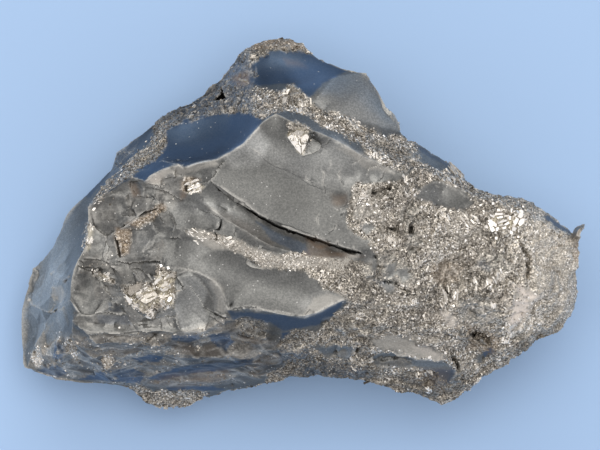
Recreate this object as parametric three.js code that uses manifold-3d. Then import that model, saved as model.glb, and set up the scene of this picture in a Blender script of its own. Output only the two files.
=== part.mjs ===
// A fist-sized hand specimen of psilomelane, a hard black manganese ore, lying on its flattest break.
// One solid: glassy shell-shaped breaks on the west, granular ore on the east, a long furrow between.
// Millimetres, +Z up. The origin lies on the flat resting break, under the middle of the stone.
import * as THREE from "three";
import { mergeVertices } from "three/addons/utils/BufferGeometryUtils.js";
import Module from "manifold-3d";

// Driving dimensions.
const STONE_LENGTH = 101; // west tip to east end, along X
const STONE_HEIGHT = 41; // resting break to the top of the crest
const NET_LENGTH = 101; // the length and height at which the net below is drawn
const NET_HEIGHT = 41;
const TOP_SPACING = 1.55; // distance between mesh points on the upper side
const UNDER_SPACING = 3.6; // and on the under side
const SHALLOW = 0.6; // how deep a break is hollowed
const MEDIUM = 1.1;
const DEEP = 2.2;
const GRAIN_RELIEF = 0.5; // height of the lumps in granular ore
const SHELL_RELIEF = 0.06; // unevenness of a glassy break

// The lines along which the breaks meet, west to east or counterclockwise seen from above: [x, y, z].
const lines = {
  // Widest outline of the stone, counterclockwise from the east end.
  rim: [
    [50.2, -3.0, 25.5], [48.5, -0.6, 23], [44.3, 1.6, 24], [40.5, 4.2, 26], [37.0, 5.4, 26],
    [31.0, 6.8, 28.5], [28.5, 9.5, 28.5], [26.0, 11.3, 28], [22.5, 13.8, 29.5], [19.2, 15.0, 30.5],
    [17.3, 18.6, 30], [15.2, 20.6, 29.5], [13.6, 24.5, 28.5], [11.8, 27.0, 27.5], [8.0, 27.8, 27],
    [3.0, 30.0, 23.5], [0.6, 32.5, 22], [-2.5, 33.9, 21], [-6.0, 33.7, 21], [-9.0, 32.4, 21],
    [-11.5, 30.8, 20], [-12.8, 28.3, 19], [-14.8, 26.3, 19.5], [-17.0, 24.3, 19], [-20.2, 22.0, 18.5],
    [-24.5, 19.8, 18], [-26.5, 17.7, 16], [-30.5, 15.2, 15], [-33.2, 13.2, 14], [-33.8, 10.3, 14],
    [-38.7, 5.5, 12], [-42.0, 1.5, 12], [-44.3, -3.5, 11], [-48.0, -8.0, 10], [-49.0, -13.0, 9],
    [-50.6, -18.0, 9], [-49.5, -23.0, 10], [-49.3, -25.8, 12], [-44.0, -27.3, 13], [-37.0, -28.4, 14],
    [-31.0, -29.0, 14], [-29.2, -31.0, 11.5], [-27.8, -32.2, 10.5], [-24.0, -33.0, 10], [-20.0, -32.2, 10],
    [-16.5, -30.8, 11.5], [-12.0, -29.6, 15], [-6.0, -28.2, 20], [2.0, -27.5, 21.5], [6.0, -27.0, 22],
    [12.0, -28.3, 20.5], [17.0, -29.4, 19.5], [21.0, -30.3, 18.5], [23.5, -31.7, 16], [26.5, -31.8, 15.5],
    [29.5, -30.3, 17], [31.3, -28.4, 18], [36.0, -25.2, 20], [42.0, -22.0, 22], [46.5, -19.4, 23],
    [48.8, -16.5, 23], [50.0, -12.0, 24], [49.7, -7.5, 25.5],
  ],
  // Sharp crest along the north edge of the top.
  crest: [
    [-38.0, 3.2, 32.0], [-34.2, 6.3, 33.5], [-30.3, 8.6, 34.5], [-27.8, 8.0, 36.0], [-25.3, 9.8, 36.8],
    [-23.4, 10.4, 37.2], [-21.9, 10.9, 37.2], [-20.8, 10.2, 37.2], [-18.0, 11.2, 37.8], [-15.0, 11.7, 38.4],
    [-12.5, 13.0, 39.0], [-10.0, 14.5, 39.6], [-8.0, 16.9, 40.0], [-6.3, 18.9, 39.8], [-4.3, 19.9, 39.5],
    [-2.0, 18.7, 40.2], [1.2, 17.3, 40.5], [5.2, 15.8, 40.5], [8.2, 14.3, 40.0], [11.0, 12.4, 39.4],
    [14.5, 10.9, 38.6], [18.0, 9.2, 37.6],
  ],
  // Far foot of the steep north-west break.
  scar: [
    [-29.4, 9.9, 31.0], [-25.8, 11.8, 31.5], [-24.4, 14.2, 28.8], [-24.2, 17.0, 26.5], [-21.0, 18.5, 26.8],
    [-16.5, 19.7, 27.8], [-12.0, 20.3, 30.0], [-8.6, 19.8, 35.5],
  ],
  band: [[-35.0, 7.4, 29.0], [-31.8, 10.3, 26.5], [-29.6, 12.6, 24.5], [-26.8, 15.0, 22.0]],
  // Knob at the north end.
  knob: [
    [-12.0, 24.0, 27.0], [-8.5, 25.0, 30.0], [-7.8, 28.0, 27.0], [-8.8, 31.0, 24.0], [-4.0, 31.9, 24.6],
    [0.2, 31.6, 24.0],
  ],
  saddle: [[-4.5, 23.9, 33.2], [-1.3, 25.3, 32.8], [1.2, 24.0, 34.0], [2.2, 24.5, 33.4]],
  shell: [[4.2, 26.0, 31.0], [6.3, 27.0, 28.0]],
  // South foot of the fan-shaped north-east break, from its point of impact.
  fanfoot: [[2.4, 20.0, 36.4], [7.0, 20.3, 35.4], [10.5, 17.9, 34.8], [14.5, 16.1, 33.4]],
  strip: [[-2.2, 20.4, 38.4], [2.0, 19.2, 38.0], [4.4, 17.5, 38.4], [8.3, 15.9, 38.0], [11.6, 13.5, 37.8]],
  // Furrow: overhanging lip on the north, root under the lip, low bank on the south.
  lip: [
    [-16.0, 7.9, 38.2], [-12.6, 5.3, 38.6], [-10.0, 3.6, 38.7], [-7.0, 1.5, 38.6], [-4.0, 0.0, 38.5],
    [0.0, -1.5, 38.2], [4.0, -2.8, 37.9], [8.0, -4.2, 37.5], [12.2, -5.2, 37.0],
  ],
  root: [
    [-12.4, 5.6, 36.6], [-9.8, 3.95, 35.8], [-6.75, 1.85, 35.2], [-3.85, 0.35, 34.7], [0.1, -1.1, 34.5],
    [4.1, -2.4, 34.6], [8.05, -3.9, 35.1],
  ],
  bank: [
    [-18.5, 5.6, 37.3], [-17.0, 3.6, 37.4], [-14.0, 1.6, 37.4], [-12.0, 0.3, 37.3], [-9.0, -1.5, 37.2],
    [-6.0, -3.4, 37.0], [-2.5, -4.6, 36.8], [2.0, -5.6, 36.6], [7.0, -6.0, 36.5], [12.4, -7.0, 36.4],
  ],
  seam: [[-14.4, -1.2, 37.2], [-11.6, -2.2, 37.1], [-8.0, -3.9, 36.9], [-4.6, -5.3, 36.7]],
  // Two small breaks at the north edge of the top plate.
  chip: [[-2.7, 16.1, 39.4], [-1.1, 14.0, 39.0], [0.8, 12.4, 39.0]],
  crater: [[3.2, 13.1, 39.0], [4.8, 14.4, 39.3]],
  // Boundary of the glassy top plate with the granular ore.
  fringe: [
    [11.8, -2.6, 37.2], [9.4, -0.9, 37.6], [6.6, 0.6, 37.9], [8.0, 2.6, 37.9], [8.6, 5.0, 38.0],
    [9.2, 7.0, 38.2], [13.8, 7.6, 38.0], [16.6, 8.0, 37.7],
  ],
  hackle: [
    [-18.6, -5.6, 36.8], [-15.8, -4.5, 36.9], [-12.0, -4.8, 36.8], [-9.0, -6.0, 36.5], [-6.5, -7.9, 36.1],
    [-3.0, -7.6, 36.1], [1.0, -8.3, 36.2], [3.0, -9.8, 36.4], [4.3, -11.6, 36.5], [6.5, -12.3, 36.4],
  ],
  fan: [[-13.5, -12.4, 36.4], [-15.2, -10.2, 36.8], [-17.6, -8.8, 36.9], [-20.0, -7.9, 36.6]],
  // South edge of the top, east to west.
  brink: [
    [8.2, -13.0, 36.2], [5.0, -14.7, 36.2], [2.8, -15.9, 36.0], [0.8, -16.6, 36.0], [-2.5, -16.2, 36.0],
    [-6.0, -15.4, 36.2], [-9.5, -14.8, 36.2], [-13.0, -15.2, 35.8], [-14.2, -17.6, 34.8], [-17.5, -19.1, 34.2],
    [-21.2, -19.4, 33.8], [-26.0, -19.0, 33.2], [-30.5, -19.7, 32.8], [-35.0, -19.7, 32.2], [-39.2, -18.8, 31.6],
    [-40.8, -17.2, 31.4],
  ],
  west: [
    [-37.9, 0.0, 32.3], [-38.3, -3.8, 32.3], [-39.8, -6.3, 32.0], [-41.0, -9.0, 32.0], [-41.3, -13.5, 31.8],
    [-39.6, -15.8, 31.8],
  ],
  cliff: [
    [-32.0, -5.8, 33.5], [-32.7, -3.2, 33.6], [-33.2, -1.4, 33.8], [-30.0, 1.0, 34.9], [-26.5, 3.6, 35.7],
    [-23.6, 4.9, 36.1], [-21.3, 6.0, 36.6],
  ],
  flake: [[-25.0, 6.9, 35.6], [-22.2, 7.4, 36.3]],
  knee: [[-35.5, -0.6, 32.6]],
  plate: [[-24.0, -0.4, 36.1], [-27.5, -3.0, 35.3], [-19.5, -1.0, 37.0], [-18.2, -2.6, 36.7]],
  notch: [[-36.0, -6.4, 32.9], [-28.5, -6.4, 34.4], [-24.6, -6.6, 35.8]],
  gully: [[-37.0, -8.0, 31.6], [-34.0, -10.4, 32.4]],
  // Bright metallic patch on the west.
  ore: [
    [-22.2, -9.0, 36.3], [-24.5, -7.3, 36.0], [-26.0, -9.0, 35.6], [-28.5, -10.6, 35.0], [-31.5, -12.0, 34.4],
    [-29.8, -14.6, 34.4], [-27.0, -16.8, 34.4], [-24.0, -15.0, 35.0], [-22.0, -13.0, 35.6], [-22.6, -17.0, 34.4],
  ],
  slope: [[-34.0, -14.8, 32.9], [-37.2, -16.3, 32.2]],
  crease: [
    [13.6, -5.6, 36.4], [14.6, -8.2, 35.9], [16.3, -10.4, 35.4], [14.2, -12.3, 34.8], [10.8, -14.3, 34.2],
    [7.0, -16.2, 33.0], [4.2, -17.9, 31.6], [2.8, -20.4, 30.4],
  ],
  foot: [[-1.5, -20.6, 30.4], [-6.0, -20.8, 30.4], [-11.0, -19.9, 31.0]],
  // Front of the terrace below the south edge, west to east.
  ledge: [
    [-41.2, -20.5, 28.5], [-37.8, -23.4, 27.5], [-34.3, -26.0, 25.0], [-31.0, -23.8, 28.0], [-26.0, -23.2, 29.0],
    [-20.0, -23.5, 29.2], [-14.0, -23.9, 29.0], [-8.0, -24.2, 28.4], [-2.5, -23.2, 28.8], [2.0, -21.8, 29.6],
  ],
  step: [[-36.6, -21.4, 31.0], [-33.2, -21.3, 31.6], [-29.5, -21.2, 31.6], [-25.2, -21.6, 31.2]],
  toe: [
    [-42.5, -25.2, 20.0], [-33.0, -27.6, 18.5], [-28.5, -28.0, 18.5], [-23.5, -27.0, 20.5], [-17.0, -26.2, 22.0],
    [-11.5, -25.4, 24.0],
  ],
  skirt: [[-28.0, -29.6, 14.6], [-23.0, -30.0, 13.8], [-18.5, -29.8, 14.2]],
  lens: [[-12.5, -27.5, 19.0], [-4.0, -25.2, 24.5], [3.0, -24.6, 25.5]],
  flank: [[-44.3, -9.5, 21.0], [-42.4, -10.0, 27.0]],
  hip: [[-48.4, -14.6, 14.0], [-45.0, -15.7, 22.0], [-47.6, -21.8, 16.5], [-43.5, -23.0, 21.5]],
  // Granular eastern half.
  knoll: [
    [20.0, 3.0, 37.0], [19.0, -4.5, 36.4], [24.5, -2.0, 35.6], [30.5, -1.0, 33.8], [37.0, -1.5, 32.8],
    [39.8, -4.0, 31.6], [41.0, -9.5, 31.0], [27.5, -8.0, 33.2], [33.5, -9.0, 32.6], [22.5, -11.5, 34.6],
    [38.0, -13.0, 31.4], [30.0, -14.5, 31.9], [37.8, -18.3, 28.6], [31.5, -20.5, 26.6], [25.5, -17.0, 31.4],
    [16.5, -15.6, 33.4],
  ],
  shoulder: [[22.0, 10.2, 35.5], [35.5, 4.0, 31.6], [40.8, 2.2, 29.8], [44.8, -0.8, 28.2]],
  east: [[48.2, -4.2, 27.0], [48.4, -11.0, 27.0], [47.6, -15.8, 26.3], [44.5, -18.6, 25.8], [34.5, -22.6, 24.0]],
  pane: [
    [21.8, 7.8, 36.0], [24.8, 8.6, 35.0], [28.0, 7.2, 34.0], [30.4, 5.4, 33.4], [28.5, 3.6, 34.2],
    [24.6, 4.4, 35.2], [22.6, 6.0, 35.8],
  ],
  sill: [[12.5, -20.4, 30.3], [19.5, -20.4, 29.6], [24.3, -21.8, 28.2], [27.0, -24.5, 26.2]],
  eave: [[13.2, -22.4, 28.8], [16.5, -23.0, 28.4], [19.3, -23.7, 27.8], [22.5, -24.4, 27.0]],
  under: [
    [13.0, -24.8, 24.8], [16.5, -25.9, 23.6], [20.5, -25.6, 23.8], [24.0, -25.0, 24.6], [23.8, -27.6, 21.5],
    [26.8, -28.4, 20.5], [28.3, -26.4, 22.5],
  ],
  pod: [
    [2.6, -22.2, 28.8], [6.2, -21.7, 28.8], [10.3, -22.2, 28.0], [9.4, -23.9, 26.0], [6.0, -24.4, 25.5],
    [3.6, -23.7, 26.5],
  ],
  belly: [[10.5, -25.4, 24.0]],
  // Under side: a belt of corners, then the flat resting break, counterclockwise seen from above.
  belt: [
    [45.0, -6.5, 14.5], [36.5, 0.5, 10.0], [24.5, 9.0, 15.0], [15.0, 18.0, 11.0], [-1.5, 28.0, 12.5],
    [-12.5, 21.0, 9.5], [-25.5, 13.5, 6.5], [-37.5, 0.5, 6.0], [-45.5, -12.0, 4.5], [-44.0, -23.5, 4.0],
    [-31.5, -26.0, 6.5], [-20.5, -28.5, 3.0], [-4.5, -25.5, 8.5], [12.0, -25.5, 5.5], [26.0, -28.0, 7.5],
    [38.0, -18.5, 12.0],
  ],
  base: [
    [31.0, -9.5, 0], [26.0, -0.5, 0], [18.0, 5.0, 0], [9.5, 12.5, 0], [-1.5, 17.5, 0], [-11.0, 12.5, 0],
    [-20.0, 7.0, 0], [-31.0, -2.0, 0], [-38.5, -11.0, 0], [-38.0, -19.0, 0], [-27.0, -22.0, 0],
    [-15.0, -24.0, 0], [-3.0, -20.0, 0], [10.0, -20.5, 0], [20.5, -22.5, 0], [28.0, -17.0, 0],
  ],
};

// The breaks: name, skin, hollow, and the corners round each, counterclockwise seen from outside.
const GLASSY = "glassy";
const GRAINY = "grainy";
const breaks = [
  ["top_plate", GLASSY, MEDIUM, "lip0-8 fringe0-7 crest21-17 crater1-0 chip2-0 crest15-9"],
  ["chip", GRAINY, SHALLOW, "crest15 chip0-2 crest16"],
  ["crater", GLASSY, MEDIUM, "crest16 chip2 crater0-1 crest17"],
  ["furrow_wall", GLASSY, 0, "lip8-0 root0-6"],
  ["furrow_floor", GLASSY, SHALLOW, "lip0 bank0-9 lip8 root6-0"],
  ["furrow_sliver", GLASSY, 0, "bank6-2 seam0-3"],
  ["pale_band", GRAINY, 0, "bank9-6 seam3-0 plate3 hackle0-9 brink0 crease4-0"],
  ["middle_plate", GLASSY, MEDIUM, "brink0 hackle9-0 fan3-0 brink7-1"],
  ["fan", GLASSY, MEDIUM, "fan3 ore0 ore8-9 brink10-7 fan0-2"],
  ["south_wall", GLASSY, SHALLOW, "brink0-8 foot2-0 crease7-4"],
  ["terrace", GRAINY, 0, "crease7 foot0-2 brink8-10 ledge5-9"],
  ["upper_lip", GLASSY, MEDIUM, "brink10-14 step0-3"],
  ["lower_lip", GLASSY, SHALLOW, "brink10 step3-0 brink14-15 ledge0-5"],
  ["north_scar", GLASSY, DEEP, "crest6-13 scar7-1"],
  ["small_scar", GLASSY, SHALLOW, "crest2-6 scar1-0"],
  ["rough_band", GRAINY, 0, "crest0-2 scar0-3 band3-0"],
  ["rough_corner", GRAINY, 0, "rim25-26 band3 scar3"],
  ["west_lobe", GLASSY, SHALLOW, "rim26-29 band1-3"],
  ["saddle_side", GRAINY, 0, "rim22-25 scar3-6 knob0"],
  ["knob_side", GRAINY, 0, "rim19-22 knob0-3"],
  ["knob_cap", GRAINY, 0, "rim15-19 knob3-5"],
  ["knob_scar", GLASSY, MEDIUM, "knob1 saddle0-3 shell0-1 rim14-15 knob5-2"],
  ["saddle_top", GRAINY, 0, "crest13-14 strip0-1 fanfoot0 saddle3-0 knob1-0 scar6-7"],
  ["crest_strip", GLASSY, 0, "crest14-19 strip4-0"],
  ["north_fan", GLASSY, -MEDIUM, "fanfoot0-3 rim9-14 shell1-0 saddle3"],
  ["north_band", GRAINY, 0, "fanfoot0 strip1-4 crest19-21 shoulder0 rim8-9 fanfoot3-1"],
  ["corner_plate", GLASSY, MEDIUM, "crest0 west0 knee0 cliff2-6 flake1-0 crest3-1"],
  ["flake", GLASSY, 0, "crest3 flake0-1 crest6-4"],
  ["crest_plate", GLASSY, SHALLOW, "flake1 cliff6 bank0 lip0 crest9-6"],
  ["knee", GLASSY, SHALLOW, "west0-2 notch0 cliff0-2 knee0"],
  ["inner_plate", GLASSY, MEDIUM, "cliff4 plate0 plate2 seam0 bank2-0 cliff6-5"],
  ["outer_plate", GLASSY, SHALLOW, "cliff4-0 notch1 plate1 plate0"],
  ["low_plate", GLASSY, SHALLOW, "plate1 notch1-2 ore1-0 fan3 hackle0 plate3-2 plate0"],
  ["wedge", GRAINY, 0, "plate2-3 seam0"],
  ["gully", GLASSY, 0, "west2 gully0-1 ore4-1 notch2-1 cliff0 notch0"],
  ["west_plate", GLASSY, MEDIUM, "west2-5 slope1-0 ore4 gully1-0"],
  ["bright_patch", GRAINY, 0, "ore0-8"],
  ["pale_slope", GLASSY, MEDIUM, "ore8-4 slope0-1 west5 brink15-10 ore9"],
  ["west_face", GLASSY, MEDIUM, "crest0 band0-1 rim29-32 flank0-1 west3-0"],
  ["west_toe", GLASSY, SHALLOW, "rim32-34 hip0-1 flank0"],
  ["west_pane", GLASSY, SHALLOW, "flank0 hip1 west4-3 flank1"],
  ["hip_hollow", GLASSY, MEDIUM, "rim34-36 hip2-0"],
  ["hip_face", GLASSY, SHALLOW, "hip1-3 ledge0 brink15 west5-4"],
  ["corner_rough", GRAINY, 0, "rim36-38 toe0 hip3-2"],
  ["south_west_face", GLASSY, SHALLOW, "ledge0 hip3 toe0 rim38-39 toe1 ledge2-1"],
  ["south_face", GLASSY, SHALLOW, "ledge2 toe1-5 ledge7-3"],
  ["south_heel", GLASSY, 0, "rim39-40 toe2-1"],
  ["lens", GLASSY, -SHALLOW, "toe2 rim40 skirt0-2 rim45-46 lens0 toe4-3"],
  ["skirt", GRAINY, 0, "rim40-45 skirt2-0"],
  ["south_apron", GRAINY, 0, "lens0 rim46-49 lens2-1 toe5-4"],
  ["south_hollow", GLASSY, 0, "toe5 lens1-2 ledge9-7"],
  ["pod", GLASSY, SHALLOW, "pod0 pod5-1"],
  ["pod_top", GRAINY, 0, "crease7 ledge9 pod0-1"],
  ["belly_west", GRAINY, 0, "ledge9 lens2 rim49-50 belly0 pod3-5 pod0"],
  ["belly_east", GRAINY, 0, "under0 belly0 rim50-53 under4-1"],
  ["nose", GRAINY, 0, "under4 rim53-56 under6-5"],
  ["pocket", GLASSY, SHALLOW, "under3-6 sill3"],
  ["sill", GLASSY, 0, "sill0 eave0-3 sill3-1"],
  ["sill_hollow", GLASSY, MEDIUM, "eave0 under0-3 sill3 eave3-1"],
  ["pod_gap", GRAINY, 0, "belly0 under0 eave0 sill0 pod2-3"],
  ["apron_west", GRAINY, 0, "crease3-7 pod1-2 sill0 knoll15"],
  ["apron_east", GRAINY, 0, "crease2-3 knoll15 sill0-1 knoll14 knoll9"],
  ["sill_east", GRAINY, 0, "sill1-2 knoll13 knoll11 knoll14"],
  ["dark_hollow", GRAINY, MEDIUM, "sill2-3 under6 rim56-57 east4 knoll13"],
  ["south_east_edge", GRAINY, 0, "knoll13 east4 rim57-59 east3 knoll12"],
  ["east_low", GRAINY, 0, "knoll13-12 knoll10-11"],
  ["east_plain", GRAINY, 0, "knoll12 east3-1 knoll6 knoll10"],
  ["east_edge", GRAINY, 0, "east3 rim59-62 rim0 east0-2"],
  ["east_shelf", GRAINY, 0, "knoll6 east1-0 shoulder3-2 knoll5"],
  ["north_east_corner", GRAINY, 0, "east0 rim0-2 shoulder3"],
  ["north_east_edge", GRAINY, 0, "shoulder3 rim2-3 shoulder2"],
  ["north_edge", GRAINY, 0, "shoulder2 rim3-5 pane3 shoulder1"],
  ["north_wall", GRAINY, 0, "shoulder0 pane1-3 rim5-8"],
  ["pane_corner", GRAINY, 0, "pane0-1 shoulder0"],
  ["pane", GLASSY, SHALLOW, "pane0 pane6-1"],
  ["grain_west", GRAINY, 0, "lip8 bank9 crease0 knoll1-0 fringe6-0"],
  ["grain_north", GRAINY, 0, "fringe6 knoll0 pane6 pane0 shoulder0 crest21 fringe7"],
  ["grain_mid", GRAINY, 0, "knoll0 knoll2-3 pane4-6"],
  ["grain_bright", GRAINY, 0, "pane4 knoll3-5 shoulder2-1 pane3"],
  ["grain_wedge", GRAINY, 0, "knoll0-2"],
  ["grain_low", GRAINY, 0, "knoll1 knoll9 knoll7 knoll2"],
  ["grain_crease", GRAINY, 0, "crease0-2 knoll9 knoll1"],
  ["grain_saddle", GRAINY, SHALLOW, "knoll2 knoll7-8 knoll3"],
  ["grain_east", GRAINY, 0, "knoll3 knoll8 knoll6-4"],
  ["grain_south", GRAINY, 0, "knoll8 knoll11-10 knoll6"],
  ["grain_brown", GRAINY, SHALLOW, "knoll7 knoll9 knoll14 knoll11 knoll8"],
];

// Under side: each belt corner hangs below one rim corner, and each base corner under one belt corner.
const RIM_ABOVE_BELT = [62, 3, 6, 10, 16, 21, 25, 30, 34, 37, 40, 43, 47, 50, 54, 58];
const GRAINY_SECTORS = new Set([0, 1, 2, 11, 12, 13, 14, 15]);
const sectors = lines.belt.length;
for (let i = 0; i < sectors; i++) {
  const next = (i + 1) % sectors;
  const skin = GRAINY_SECTORS.has(i) ? GRAINY : GLASSY;
  const hollow = skin === GLASSY ? MEDIUM : SHALLOW;
  const from = RIM_ABOVE_BELT[next];
  const to = RIM_ABOVE_BELT[i];
  const above = i === 0 ? `rim${from}-0 rim${to}` : `rim${from}-${to}`;
  breaks.push([`side_${i}`, skin, hollow, `${above} belt${i} belt${next}`, UNDER_SPACING]);
  breaks.push([`bottom_${i}`, skin, hollow / 2, `belt${next} belt${i} base${i} base${next}`, UNDER_SPACING]);
}
breaks.push(["resting_break", GLASSY, 0, `base${sectors - 1}-0`, UNDER_SPACING]);

// "crest6-13 scar7-1" as a list of corner keys.
function corners(route) {
  return route.split(" ").flatMap((stretch) => {
    const [, line, first, last = first] = stretch.match(/^([a-z]+)(\d+)(?:-(\d+))?$/);
    const count = Math.abs(last - first) + 1;
    const step = Math.sign(last - first);
    return Array.from({ length: count }, (_, k) => `${line}${Number(first) + k * step}`);
  });
}

// Smooth random field between -1 and 1, the same on every run.
function lattice(x, y, z) {
  const s = Math.sin(x * 127.1 + y * 311.7 + z * 74.7) * 43758.5453;
  return 2 * (s - Math.floor(s)) - 1;
}
function noise(x, y, z) {
  const [ix, iy, iz] = [Math.floor(x), Math.floor(y), Math.floor(z)];
  const ease = (t) => t * t * (3 - 2 * t);
  const [u, v, w] = [ease(x - ix), ease(y - iy), ease(z - iz)];
  const mix = (a, b, t) => a + (b - a) * t;
  const row = (dy, dz) => mix(lattice(ix, iy + dy, iz + dz), lattice(ix + 1, iy + dy, iz + dz), u);
  return mix(mix(row(0, 0), row(1, 0), v), mix(row(0, 1), row(1, 1), v), w);
}

const stretch = new THREE.Vector3(STONE_LENGTH / NET_LENGTH, STONE_LENGTH / NET_LENGTH, STONE_HEIGHT / NET_HEIGHT);
const points = []; // every mesh point, as a Vector3
const pointOf = new Map(); // corner key to its number in points
for (const [line, list] of Object.entries(lines)) {
  list.forEach((p, i) => {
    pointOf.set(`${line}${i}`, points.length);
    points.push(new THREE.Vector3(...p).multiply(stretch));
  });
}

// Points along the edge between two corners, shared by the two breaks that meet there.
const GLASSY_NICK = 0.07; // how far an edge wanders from the straight line between its corners
const GRAINY_NICK = 0.24;
const grainyEdges = new Set();
for (const [, skin, , route] of breaks) {
  const loop = corners(route).map((key) => pointOf.get(key));
  if (skin === GRAINY) loop.forEach((a, i) => grainyEdges.add(a + loop[(i + 1) % loop.length] * 1e4));
}
const edgePoints = new Map();
function alongEdge(a, b) {
  const key = a < b ? `${a}_${b}` : `${b}_${a}`;
  if (!edgePoints.has(key)) {
    const [p, q] = [points[Math.min(a, b)], points[Math.max(a, b)]];
    const resting = p.z === 0 && q.z === 0;
    const rough = grainyEdges.has(a + b * 1e4) || grainyEdges.has(b + a * 1e4);
    const under = p.z + q.z < 20;
    const pieces = Math.max(1, Math.round(p.distanceTo(q) / (under ? UNDER_SPACING : TOP_SPACING)));
    const list = [];
    for (let k = 1; k < pieces; k++) {
      const m = p.clone().lerp(q, k / pieces);
      const nick = resting ? 0 : rough ? GRAINY_NICK : GLASSY_NICK;
      m.x += nick * noise(m.x, m.y, m.z + 40);
      m.y += nick * noise(m.x + 40, m.y, m.z);
      m.z += nick * noise(m.x, m.y + 40, m.z);
      list.push(points.length);
      points.push(m);
    }
    edgePoints.set(key, list);
  }
  const list = edgePoints.get(key);
  return a < b ? list : [...list].reverse();
}

const cross2 = (a, b, c) => (b.x - a.x) * (c.y - a.y) - (b.y - a.y) * (c.x - a.x);

// Splits the triangle that holds the directed edge a, b at a new point m on that edge.
function splitEdge(triangles, a, b, m) {
  const at = triangles.findIndex((t) => [0, 1, 2].some((k) => t[k] === a && t[(k + 1) % 3] === b));
  const k = [0, 1, 2].find((i) => triangles[at][i] === a && triangles[at][(i + 1) % 3] === b);
  const apex = triangles[at][(k + 2) % 3];
  triangles.splice(at, 1, [a, m, apex], [m, b, apex]);
}

// Turns edges round until every pair of triangles is as even as it can be.
function evenOut(triangles, flat) {
  const outsideCircle = (a, b, c, d) => {
    const [ax, ay, bx, by, cx, cy] = [a.x - d.x, a.y - d.y, b.x - d.x, b.y - d.y, c.x - d.x, c.y - d.y];
    const [a2, b2, c2] = [ax * ax + ay * ay, bx * bx + by * by, cx * cx + cy * cy];
    return ax * (by * c2 - b2 * cy) - ay * (bx * c2 - b2 * cx) + a2 * (bx * cy - by * cx) < 1e-9;
  };
  for (let pass = 0; pass < 60; pass++) {
    const owner = new Map();
    triangles.forEach((t, i) => [0, 1, 2].forEach((k) => owner.set(`${t[k]}_${t[(k + 1) % 3]}`, i)));
    let turned = false;
    const touched = new Set();
    for (const [key, i] of owner) {
      const [a, b] = key.split("_").map(Number);
      const j = owner.get(`${b}_${a}`);
      if (a > b || j === undefined || touched.has(i) || touched.has(j)) continue;
      const c = triangles[i].find((v) => v !== a && v !== b);
      const d = triangles[j].find((v) => v !== a && v !== b);
      const [A, B, C, D] = [a, b, c, d].map((v) => flat.get(v));
      if (outsideCircle(A, B, C, D)) continue;
      if (cross2(C, A, D) <= 1e-7 || cross2(C, D, B) <= 1e-7) continue;
      triangles[i] = [c, a, d];
      triangles[j] = [c, d, b];
      touched.add(i).add(j);
      turned = true;
    }
    if (!turned) break;
  }
}

// Heights over the mean plane of a break: a skin stretched over its edge and pushed in by the load.
function relax(inner, neighbours, height, load) {
  for (let round = 0; round < 160; round++) {
    for (const v of inner) {
      const near = neighbours.get(v);
      let sum = 0;
      for (const n of near) sum += height.get(n);
      height.set(v, sum / near.size + load);
    }
  }
}

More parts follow.
